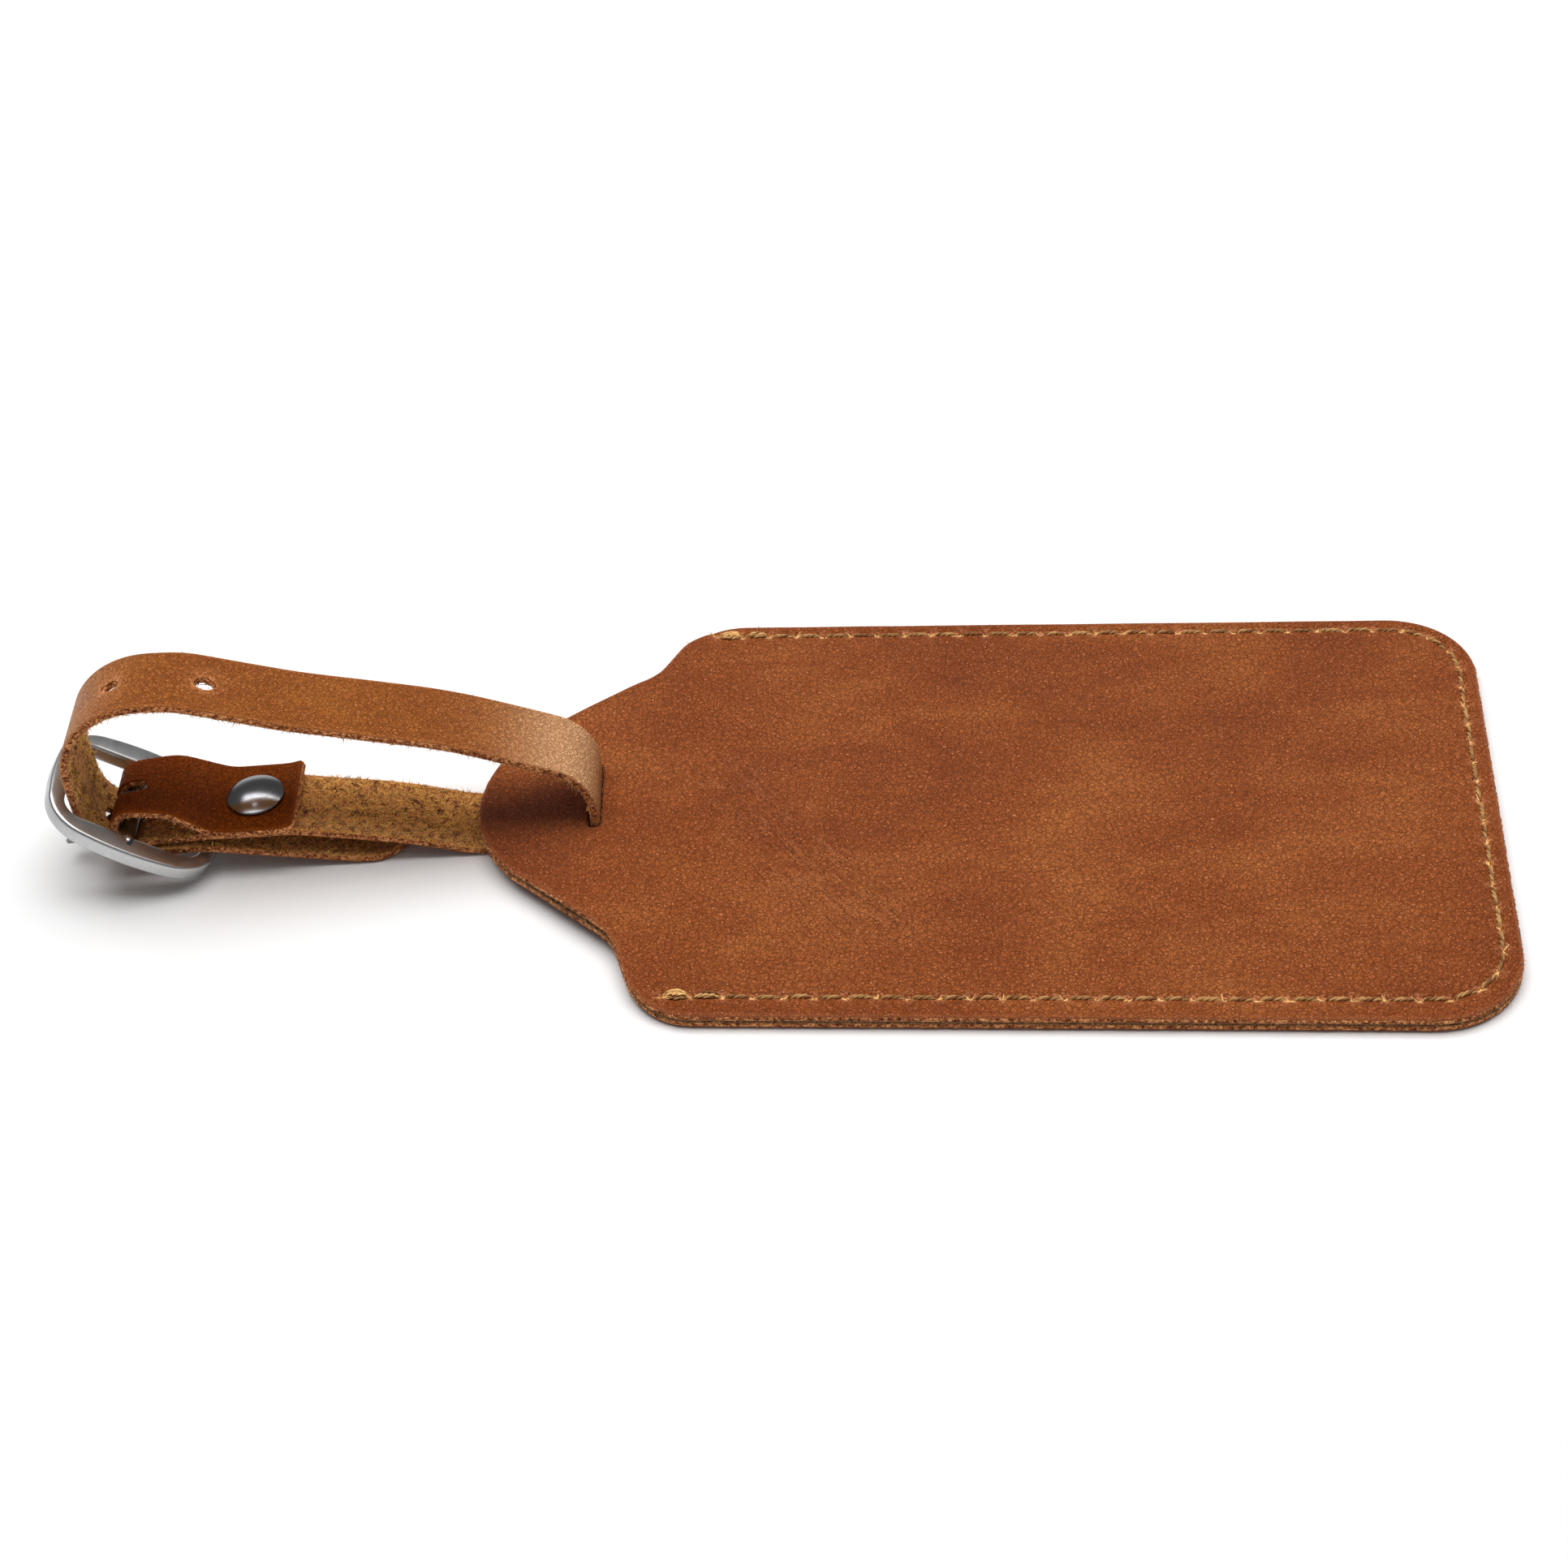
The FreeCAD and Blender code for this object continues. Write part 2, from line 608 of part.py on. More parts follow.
flap_top = size("layer_height") + 1.5 * size("strap_thick") + size("layer_gap") + 0.02
layer_bottom = size("layer_height") - size("strap_thick") / 2 - 0.02
socket = size("rivet_pin") + size("rivet_play")
cap_low = layer_bottom + 0.15
cap_rim = flap_top + size("rivet_rim")
cap = turned_body("rivet_cap", [
    corner(socket, cap_low), corner(size("rivet_post"), cap_low), corner(size("rivet_post"), flap_top),
    corner(size("rivet_radius"), flap_top, "rivet_edge"), corner(size("rivet_radius"), cap_rim, "rivet_edge"),
    corner(size("rivet_radius") * 0.55, cap_rim + size("rivet_dome"), "rivet_crown"),
    corner(0, cap_rim + size("rivet_dome")), corner(0, flap_top), corner(socket, flap_top),
])
base = turned_body("rivet_base", [
    corner(0, layer_bottom - size("rivet_foot_thick")),
    corner(size("rivet_foot"), layer_bottom - size("rivet_foot_thick"), "rivet_edge"),
    corner(size("rivet_foot"), layer_bottom), corner(size("rivet_pin"), layer_bottom),
    corner(size("rivet_pin"), flap_top - 0.15), corner(0, flap_top - 0.15),
])
rivet_frame = strap_frame.multiply(Placement(Vector(size("rivet_at"), 0, 0), Rotation()))
place(cap, rivet_frame)
place(base, rivet_frame)


# ---------------------------------------------------------------- buckle

def oval(edge):
    """The frame's outer edge ("buckle") or inner edge ("opening"), in the frame's own plane."""
    long, wide = size(f"{edge}_long"), size(f"{edge}_wide")
    corner_x, corner_y = long - size(f"{edge}_end_slack"), wide - size(f"{edge}_side_slack")
    end, side, rounding = f"{edge}_end_arc", f"{edge}_side_arc", f"{edge}_round"
    return [corner(long, 0, end), corner(corner_x, corner_y, rounding),
            corner(0, wide, side), corner(-corner_x, corner_y, rounding),
            corner(-long, 0, end), corner(-corner_x, -corner_y, rounding),
            corner(0, -wide, side), corner(corner_x, -corner_y, rounding)]


frame = new_body("buckle_frame")
frame_sketch = new_sketch(frame, "buckle_outline")
draw(frame_sketch, oval("buckle"))
draw(frame_sketch, oval("opening"))
ring = add_pad(frame, "buckle_ring", frame_sketch, "Sizes.buckle_thick", symmetric=True)
edges = [f"Edge{number}" for number in range(1, len(ring.Shape.Edges) + 1)
         if abs(ring.Shape.Edges[number - 1].BoundBox.ZLength) < 1e-6]
rounded = frame.newObject("PartDesign::Fillet", "buckle_rounded")
rounded.Base = (ring, edges)
rounded.setExpression("Radius", "Sizes.buckle_edge")
doc.recompute()
bar = frame.newObject("PartDesign::AdditiveCylinder", "buckle_centre_bar")
bar.setExpression("Radius", "Sizes.bar_radius")
bar.setExpression("Height", "Sizes.buckle_wide + Sizes.opening_wide")
bar.Placement = Placement(Vector(0, (size("buckle_wide") + size("opening_wide")) / 2, 0), Rotation(Vector(1, 0, 0), 90))
doc.recompute()
place(frame, strap_frame.multiply(Placement(bar_centre, Rotation(Vector(0, 1, 0), size("buckle_pitch")))))

# prong: an eye around the bar and a straight tongue with a bevelled tip
wire = size("prong_wire")
eye_radius = size("bar_radius") + size("prong_play") + wire
prong = new_body("buckle_prong")
eye_sketch = new_sketch(prong, "prong_eye_section", "XY_Plane")
circle = eye_sketch.addGeometry(Part.Circle(Vector(eye_radius, 0, 0), Vector(0, 0, 1), wire))
number = eye_sketch.addConstraint(Sketcher.Constraint("Radius", circle, wire))
eye_sketch.renameConstraint(number, "wire_radius")
eye_sketch.setExpression("Constraints.wire_radius", "Sizes.prong_wire")
eye = prong.newObject("PartDesign::Revolution", "prong_eye")
eye.Profile = eye_sketch
eye.ReferenceAxis = (eye_sketch, ["V_Axis"])
doc.recompute()
tongue_length = size("prong_length") - eye_radius - size("prong_taper")
tongue = prong.newObject("PartDesign::AdditiveCylinder", "prong_tongue")
tongue.setExpression("Radius", "Sizes.prong_wire")
tongue.Height = tongue_length
tongue.Placement = Placement(Vector(-eye_radius, 0, 0), Rotation(Vector(0, 1, 0), -90))
doc.recompute()
point = prong.newObject("PartDesign::AdditiveCone", "prong_tip")
point.setExpression("Radius1", "Sizes.prong_wire")
point.setExpression("Radius2", "Sizes.prong_wire / 2")
point.setExpression("Height", "Sizes.prong_taper")
point.Placement = Placement(Vector(-eye_radius - tongue_length, 0, 0), Rotation(Vector(0, 1, 0), -90))
doc.recompute()
place(prong, strap_frame.multiply(Placement(bar_centre, Rotation(Vector(0, 1, 0), size("prong_turn")))))


# ---------------------------------------------------------------- checks and export

NODES = [front, back, film, card, doc.getObject("needle_thread"), doc.getObject("bobbin_thread"),
         strap, cap, base, frame, prong]

doc.recompute()
for item in doc.Objects:
    if {"Invalid", "Error"} & set(item.State):
        raise RuntimeError(f"{item.Label} failed: {item.State}")
whole = FreeCAD.BoundBox()
for node in NODES:
    shape = node.Shape
    if shape.isNull() or not shape.isValid():
        raise RuntimeError(f"{node.Label} has no valid shape")
    whole.add(shape.BoundBox)
    box = shape.BoundBox
    print(f"{node.Label:14s} solids {len(shape.Solids):3d}  volume {shape.Volume:9.1f}  "
          f"x {box.XMin:7.2f} {box.XMax:7.2f}  y {box.YMin:7.2f} {box.YMax:7.2f}  z {box.ZMin:6.2f} {box.ZMax:6.2f}")
print(f"whole x {whole.XMin:.3f} {whole.XMax:.3f} y {whole.YMin:.3f} {whole.YMax:.3f} z {whole.ZMin:.3f} {whole.ZMax:.3f}")

os.makedirs("parts", exist_ok=True)
for node in NODES:
    node.Shape.exportStep(f"parts/{node.Label}.step")
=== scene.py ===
"""Looks of a leather luggage tag with a looped strap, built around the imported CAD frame.

Sizes are in millimetres in the tag's own frame (x from the neck's tip, y across, z up) or, for
the strap, along the strap's route, and become metres when a mesh is made.
"""

import math
import random

import bpy
import numpy as np
from mathutils import Matrix, Vector, kdtree, noise
from mathutils.geometry import delaunay_2d_cdt


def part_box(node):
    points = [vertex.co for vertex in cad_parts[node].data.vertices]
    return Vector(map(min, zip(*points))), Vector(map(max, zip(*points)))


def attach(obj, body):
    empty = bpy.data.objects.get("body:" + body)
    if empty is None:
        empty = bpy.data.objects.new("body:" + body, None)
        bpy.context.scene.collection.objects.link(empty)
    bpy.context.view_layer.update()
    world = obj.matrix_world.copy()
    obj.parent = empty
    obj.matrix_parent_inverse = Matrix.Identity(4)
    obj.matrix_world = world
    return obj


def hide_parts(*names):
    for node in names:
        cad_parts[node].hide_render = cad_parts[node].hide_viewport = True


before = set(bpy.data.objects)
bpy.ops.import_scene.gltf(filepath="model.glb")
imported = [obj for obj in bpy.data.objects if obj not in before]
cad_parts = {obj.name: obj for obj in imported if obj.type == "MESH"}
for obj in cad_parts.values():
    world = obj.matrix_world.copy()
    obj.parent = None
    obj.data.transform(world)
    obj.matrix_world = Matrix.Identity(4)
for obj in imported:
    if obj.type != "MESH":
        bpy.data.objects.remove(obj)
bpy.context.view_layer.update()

MM = 0.001


def node_box(node):
    """Lowest and highest corner of a CAD node, in millimetres."""
    low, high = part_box(node)
    return np.array(low) / MM, np.array(high) / MM


# ---------------- driving sizes

panel_low, panel_high = node_box("front_panel")
TIP = panel_low[0]  # row x of the neck's tip
TAG_LENGTH = panel_high[0] - panel_low[0]
TAG_HALF = panel_high[1]
LEATHER = panel_low[2]  # each panel's thickness: the front lies on the back
NECK_LIFT = panel_high[2] - 2 * LEATHER

CORNER_RADIUS = 10.6
NECK_RADIUS = 17.0
NECK_FLARE = math.radians(38.0)
WAIST_AT = 19.6
WAIST_RADIUS = 8.0
SHOULDER_AT = 24.1
SHOULDER_RADIUS = 9.0
LIFT_STARTS = 27.5
LIFT_ENDS = 16.0
NECK_GAPE = 0.40  # the panels stand this far apart at the slot
FLOOR_GAP = 0.02  # keeps the back panel off the floor
LAYER_GAP = 0.01
SLOT_AT = 14.6
SLOT_WIDTH = 1.7
SLOT_LENGTH = 11.4

SEAM_START = 26.3
SEAM_NEAR = 3.1
SEAM_FAR = 1.9
SEAM_END = 2.1
SEAM_CORNER = 8.2
STITCH_PITCH = 3.6

WINDOW_AT = 79.0
WINDOW_LENGTH = 70.0
WINDOW_WIDTH = 40.0
WINDOW_CORNER = 5.0

STRAP_YAW = math.radians(5.5)
STRAP_THICK = 1.1
STRAP_HALF = 5.1
FLAP_HALF = 6.1
FOLD_HALF = 4.8
FLAP_END = -36.8
STRAP_JOIN = -44.6
TAIL_TIP = -23.5
RIVET_AT = -42.2
RIVET_RADIUS = 3.6
RIVET_RIM = 0.45
RIVET_POST = 1.2
RIVET_DOME = 0.95
BAR_AT = -57.4
BAR_HEIGHT = 7.6
FOLD_RADIUS = 1.9
FOLD_TOP = 10.6
BAR_RADIUS = 1.2
BUCKLE_PITCH = math.radians(35.0)
BUCKLE_HALF_THICK = 1.1
BUCKLE_ROUNDING = 0.45
LAYER_HEIGHT = 6.05
STRAP_LOW = 0.62

rng = random.Random(7)


def smoothstep(value):
    value = np.clip(value, 0.0, 1.0)
    return value * value * (3 - 2 * value)


def ripple(points, size, seed=0.0):
    """Smooth noise from -1 to 1 at each (x, y), with features of about this size."""
    return np.array([noise.noise(Vector((x / size, y / size, seed))) for x, y in points])


# ---------------- outlines and routes
#
# An outline or route is a list of corners (x, y, radius), rounded by tangent arcs.

def unit(vector):
    return vector / np.linalg.norm(vector)


def turned(x, y, angle):
    """x and y turned about the origin."""
    return x * math.cos(angle) - y * math.sin(angle), x * math.sin(angle) + y * math.cos(angle)


def headings(line, closed=False):
    """Direction of a line at each of its points."""
    steps = np.roll(line, -1, axis=0) - np.roll(line, 1, axis=0) if closed else np.gradient(line, axis=0)
    return steps / np.maximum(np.linalg.norm(steps, axis=1)[:, None], 1e-9)


def run_lengths(line):
    """Distance along a line at each of its points."""
    return np.concatenate([[0], np.cumsum(np.linalg.norm(np.diff(line, axis=0), axis=1))])


def distances(points, spots):
    """From each point to the nearest of the spots."""
    tree = kdtree.KDTree(len(spots))
    for index, (x, y) in enumerate(spots):
        tree.insert((x, y, 0), index)
    tree.balance()
    return np.array([tree.find((x, y, 0))[2] for x, y in points])


def near_field(points, spots, width):
    """1 at each spot, fading over this width."""
    return np.exp(-(distances(points, spots) / width) ** 2)


def corner_arc(before, here, after, radius, step):
    """The points of the arc that rounds a corner."""
    start, end = unit(here - before), unit(after - here)
    turn = math.atan2(start[0] * end[1] - start[1] * end[0], float(start @ end))
    if radius <= 0 or abs(turn) < 1e-6:
        return [here]
    touch = here - start * radius * math.tan(abs(turn) / 2)
    centre = touch + np.array([-start[1], start[0]]) * math.copysign(radius, turn)
    count = max(2, math.ceil(abs(turn) * radius / step))
    return [centre + np.array(turned(*(touch - centre), turn * k / count)) for k in range(count + 1)]


def inset_corners(corners, distance):
    """A closed counterclockwise outline moved inwards."""
    places = np.array([corner[:2] for corner in corners], float)
    moved = []
    for i, (x, y, radius) in enumerate(corners):
        before = unit(places[i] - places[i - 1])
        after = unit(places[(i + 1) % len(places)] - places[i])
        share = distance / (1 + float(before @ after))
        left = before[0] * after[1] - before[1] * after[0] > 0
        if radius:
            radius = max(radius - distance, 0.02) if left else radius + distance
        moved.append((x - (before[1] + after[1]) * share, y + (before[0] + after[0]) * share, radius))
    return moved


def sample(corners, step, closed=True):
    """Evenly spread points along a rounded outline or route."""
    places = np.array([corner[:2] for corner in corners], float)
    last = len(places) - 1
    raw = []
    for i, here in enumerate(places):
        if not closed and i in (0, last):
            raw.append(here)
        else:
            after = places[0 if i == last else i + 1]
            raw += corner_arc(places[i - 1], here, after, corners[i][2], step / 4)
    if closed:
        raw.append(raw[0])
    raw = np.array(raw)
    lengths = run_lengths(raw)
    total = lengths[-1]
    spots = np.linspace(0, total, max(4, round(total / step)) + 1)
    if closed:
        spots = spots[:-1]
    return np.stack([np.interp(spots, lengths, raw[:, k]) for k in (0, 1)], axis=1)


def rectangle(x_low, x_high, y_low, y_high, radius):
    return [(x, y, radius) for x, y in ((x_low, y_low), (x_high, y_low), (x_high, y_high), (x_low, y_high))]


def centred(x, long, wide, radius, angle=0.0):
    """A rectangle about (x, 0), turned by this angle."""
    spots = [turned(a, b, angle) for a, b, _ in rectangle(-long / 2, long / 2, -wide / 2, wide / 2, 0)]
    return [(x + along, across, radius) for along, across in spots]


def inside(points, polygon):
    """Even-odd test of many points against a polygon."""
    x, y = points[:, 0], points[:, 1]
    result = np.zeros(len(points), bool)
    for (x0, y0), (x1, y1) in zip(polygon, np.roll(polygon, -1, axis=0)):
        if y0 == y1:
            continue
        crosses = (y0 > y) != (y1 > y)
        result ^= crosses & (x < (x1 - x0) * (y - y0) / (y1 - y0) + x0)
    return result


def within(points, outer, holes):
    """Which points lie inside the outer polygon and in none of the holes."""
    kept = inside(points, outer)
    for hole in holes:
        kept &= ~inside(points, hole)
    return kept


def honeycomb(low, high, step):
    """Points of a triangular grid with a little disorder."""
    points = []
    row, y = 0, low[1]
    while y < high[1]:
        x = low[0] + (row % 2) * step / 2
        while x < high[0]:
            points.append((x + rng.uniform(-0.12, 0.12) * step, y + rng.uniform(-0.12, 0.12) * step))
            x += step
        y += step * 0.866
        row += 1
    return np.array(points)


# ---------------- leather sheets

def add_object(name, vertices, faces, materials, slots=None):
    """A mesh object from vertices in millimetres in the row frame."""
    mesh = bpy.data.meshes.new(name)
    mesh.from_pydata((np.asarray(vertices) * MM).tolist(), [], faces)
    for material in materials:
        mesh.materials.append(material)
    if slots is not None:
        mesh.polygons.foreach_set("material_index", np.asarray(slots, np.int32))
    mesh.shade_smooth()
    mesh.update()
    thing = bpy.data.objects.new(name, mesh)
    bpy.context.scene.collection.objects.link(thing)
    return thing


def set_attribute(thing, name, values):
    attribute = thing.data.attributes.new(name, "FLOAT", "POINT")
    attribute.data.foreach_set("value", np.asarray(values, np.float32))


GRAIN, FLESH, EDGE = 0, 1, 2  # material slots of every leather sheet
RIM_REACH = 6.0  # the rim attribute grows to this distance from an edge


def leather_sheet(name, outer, holes, step, place, thick, materials, marks, extra=None, shades=None,
                  round_grain=0.32, round_flesh=0.22, rough=0.08, edge_step=0.35, mark_width=0.75):
    """A sheet of leather: two faces that follow place(points, height), and cut edges all round.

    outer and holes are corner lists in the sheet's flat plane. height runs from 0 at the flesh
    side to thick at the grain side. Each vertex gets rim, its distance to the nearest edge; mark,
    from 0 to 1 near one of the points in marks; and shade and bend, the columns of shades(points)."""
    widest = max(round_grain, round_flesh)
    insets = [0.0, 0.07 * widest, 0.25 * widest, 0.55 * widest, widest, 1.7 * widest]

    def rings_at(inset):
        """The outer outline and the holes, sampled this far from the edges."""
        signs = [1.0] + [-1.0] * len(holes)
        return [sample(inset_corners(corners, sign * inset), edge_step)
                for corners, sign in zip([outer, *holes], signs)]

    points, depth, loops = [], [], []
    for rings in zip(*[rings_at(inset) for inset in insets]):
        loops.append((len(points), rings[0]))
        for inset, ring in zip(insets, rings):
            points.extend(ring)
            depth.extend([inset] * len(ring))
    edge_rings = [ring for _, ring in loops]
    grid = honeycomb(np.min(points, axis=0), np.max(points, axis=0), step)
    if extra is not None:
        grid = np.vstack([grid, extra])
    outline, *openings = rings_at(insets[-1] + 0.35 * step)
    grid = grid[within(grid, outline, openings)]
    depth = np.array(depth + [RIM_REACH] * len(grid))
    points = np.vstack([np.array(points), grid])
    edges = [(first + k, first + (k + 1) % len(ring)) for first, ring in loops for k in range(len(ring))]
    flat, _, triangles, origins, *_ = delaunay_2d_cdt([Vector(p) for p in points], edges, [], 1, 1e-5)
    flat = np.array([tuple(p) for p in flat])
    source = np.array([ids[0] if ids else -1 for ids in origins])
    depth = np.where(source >= 0, depth[source], 0.0)
    triangles = np.array([t[:] for t in triangles])
    triangles = triangles[within(flat[triangles].mean(axis=1), edge_rings[0], edge_rings[1:])]
    number = {old: new for new, old in enumerate(source) if old >= 0}

    def drop(radius):
        near = np.clip(radius - depth, 0, radius)
        return radius - np.sqrt(np.maximum(radius * radius - near * near, 0))

    layers = [place(flat, thick - drop(round_grain)), place(flat, drop(round_flesh))]
    total = len(flat)
    faces = [tuple(t) for t in triangles] + [tuple(t[::-1] + total) for t in triangles]
    slots = [GRAIN] * len(triangles) + [FLESH] * len(triangles)
    rims = [depth, depth]
    planes = [flat, flat]
    levels = 5
    for first, ring in loops:
        count = len(ring)
        along = headings(ring, closed=True)
        outward = np.stack([along[:, 1], -along[:, 0]], axis=1) * (1.0 if first == 0 else -1.0)
        upper = [number[first + k] for k in range(count)]
        rows = [upper]
        for level in range(1, levels):
            share = level / levels
            height = round_flesh + (thick - round_grain - round_flesh) * (1 - share)
            jitter = np.array([rng.uniform(-1, 1) for _ in range(count)])
            swell = rough * (0.5 + jitter) + 0.04 * math.sin(math.pi * share)
            wall = ring + outward * swell[:, None]
            taken = sum(len(plane) for plane in planes)
            rows.append(list(range(taken, taken + count)))
            layers.append(place(wall, np.full(count, height) + jitter * rough * 0.6))
            planes.append(wall)
            rims.append(np.zeros(count))
        rows.append([index + total for index in upper])
        for above, below in zip(rows, rows[1:]):
            faces += zip(above, below, below[1:] + below[:1], above[1:] + above[:1])
    slots += [EDGE] * (len(faces) - len(slots))
    plane = np.vstack(planes)
    faces = [[int(i) for i in face] for face in faces]
    thing = add_object(name, np.vstack(layers), faces, materials, slots)
    outward_normals(thing)
    rim = np.concatenate(rims)
    far = rim >= RIM_REACH
    rim[far] = np.minimum(distances(plane[far], np.vstack(edge_rings)), RIM_REACH)
    set_attribute(thing, "rim", rim)
    set_attribute(thing, "mark", near_field(plane, marks, mark_width))
    shaded = np.zeros((len(plane), 2)) if shades is None else shades(plane)
    set_attribute(thing, "shade", shaded[:, 0])
    set_attribute(thing, "bend", shaded[:, 1])
    layer = thing.data.uv_layers.new(name="sheet")
    corners = np.zeros(len(thing.data.loops), np.int32)
    thing.data.loops.foreach_get("vertex_index", corners)
    layer.data.foreach_set("uv", (plane[corners] * MM).astype(np.float32).ravel())
    return thing


def ring_faces(lower, upper, count):
    """Faces between two closed rings of vertices, given the first number in each."""
    return [(lower + k, lower + (k + 1) % count, upper + (k + 1) % count, upper + k) for k in range(count)]


def outward_normals(thing):
    """Turns every face of a closed mesh outwards."""
    mesh = thing.data
    count = len(mesh.vertices)
    co = np.zeros(count * 3)
    mesh.vertices.foreach_get("co", co)
    co = co.reshape(-1, 3)
    mesh.calc_loop_triangles()
    corners = np.zeros(len(mesh.loop_triangles) * 3, np.int32)
    mesh.loop_triangles.foreach_get("vertices", corners)
    a, b, c = co[corners.reshape(-1, 3)].transpose(1, 0, 2)
    if np.einsum("ij,ij->i", a, np.cross(b, c)).sum() < 0:
        mesh.flip_normals()


def add_tubes(name, paths, sides, material):
    """Many tubes in one mesh. Each path is (points, radii, tone), in millimetres in the row frame."""
    vertices, faces, tones = [], [], []
    for points, radii, tone in paths:
        points = np.asarray(points, float)
        first = len(vertices)
        tangents = headings(points)
        helper = np.array([0, 0, 1.0]) if abs(tangents[0][2]) < 0.8 else np.array([1.0, 0, 0])
        normal = unit(np.cross(tangents[0], helper))
        for point, tangent, radius in zip(points, tangents, radii):
            normal = unit(normal - tangent * float(normal @ tangent))
            side = np.cross(tangent, normal)
            for k in range(sides):
                angle = 2 * math.pi * k / sides
                vertices.append(point + (normal * math.cos(angle) + side * math.sin(angle)) * radius)
        tones += [tone] * (len(vertices) - first)
        for start in range(first, len(vertices) - sides, sides):
            faces += ring_faces(start, start + sides, sides)
        faces.append(tuple(range(first, first + sides))[::-1])
        faces.append(tuple(range(len(vertices) - sides, len(vertices))))
    thing = add_object(name, vertices, faces, [material])
    set_attribute(thing, "tone", tones)
    return thing


# ---------------- material helpers

class Nodes:
    """A small builder for one node material."""

    def __init__(self, name):
        self.material = bpy.data.materials.new(name)
        self.material.use_nodes = True
        self.tree = self.material.node_tree
        self.shader = self.tree.nodes["Principled BSDF"]

    def add(self, kind, inputs=None, **settings):
        node = self.tree.nodes.new("ShaderNode" + kind)
        for key, value in settings.items():
            setattr(node, key, value)
        for key, value in (inputs or {}).items():
            self.feed(node.inputs[key], value)
        return node

    def feed(self, socket, value):
        if isinstance(value, bpy.types.NodeSocket):
            self.tree.links.new(value, socket)
        elif isinstance(value, (tuple, list)) and len(value) == 3 and socket.type == "RGBA":
            socket.default_value = (*value, 1.0)
        else:
            socket.default_value = value

    def math(self, operation, a, b=0.0):
        return self.add("Math", {0: a, 1: b}, operation=operation).outputs[0]

    def times(self, a, b):
        return self.math("MULTIPLY", a, b)

    def plus(self, a, b):
        return self.math("ADD", a, b)

    def weighed(self, a, part, b, rest):
        return self.plus(self.times(a, part), self.times(b, rest))

    def coordinates(self, scale=(1, 1, 1), location=(0, 0, 0), rotation=(0, 0, 0)):
        """Object coordinates in millimetres, stretched by scale."""
        base = self.add("TexCoord").outputs["Object"]
        return self.add("Mapping", {"Vector": base, "Scale": [s / MM for s in scale],
                                    "Location": location, "Rotation": rotation}).outputs[0]

    def noise(self, vector, scale, detail=2.0, roughness=0.5, distortion=0.0):
        """Cloudy noise; the scale counts features per millimetre."""
        return self.add("TexNoise", {
            "Vector": vector, "Scale": scale, "Detail": detail, "Roughness": roughness,
            "Distortion": distortion}).outputs["Fac"]

    def voronoi(self, vector, scale, feature="F1"):
        inputs = {"Vector": vector, "Scale": scale}
        return self.add("TexVoronoi", inputs, feature=feature).outputs["Distance"]

    def span(self, value, low, high, to_low=0.0, to_high=1.0):
        """Maps low..high to to_low..to_high, clamped."""
        return self.add("MapRange", {"Value": value, "From Min": low, "From Max": high,
                                     "To Min": to_low, "To Max": to_high}).outputs[0]

    def mix(self, factor, a, b, blend="MIX"):
        node = self.add("Mix", data_type="RGBA", blend_type=blend)
        self.feed(node.inputs["Factor"], factor)
        self.feed(node.inputs[6], a)
        self.feed(node.inputs[7], b)
        return node.outputs[2]

    def attribute(self, name):
        return self.add("Attribute", attribute_name=name).outputs["Fac"]

    def three_tones(self, value, low, high, light, middle, dark):
        """From dark at low, through middle at 0.5, to light at high."""
        base = self.mix(self.span(value, low, 0.5), dark, middle)
        return self.mix(self.span(value, 0.5, high), base, light)

    def bump(self, height, distance, normal=None):
        inputs = {"Height": height, "Distance": distance * MM}
        if normal is not None:
            inputs["Normal"] = normal
        return self.add("Bump", inputs).outputs[0]

    def finish(self, **inputs):
        for key, value in inputs.items():
            self.feed(self.shader.inputs[key.replace("_", " ")], value)
        return self.material


def srgb(red, green, blue):
    """A colour given as 0..255 display values, made linear."""
    shares = (c / 255 for c in (red, green, blue))
    return tuple(((c + 0.055) / 1.055) ** 2.4 if c > 0.04 else c / 12.92 for c in shares)


# ---------------- materials

PEBBLE = 2.4  # cells of the leather's grain per millimetre
PALE_TINT = 1.15, 0.92, 0.62


def paled(colour, gain, lift):
    """A lighter and less saturated colour."""
    return tuple(min(1.0, c * gain + lift * tint) for c, tint in zip(colour, PALE_TINT))


def scaled(colour, gain):
    return tuple(c * gain for c in colour)


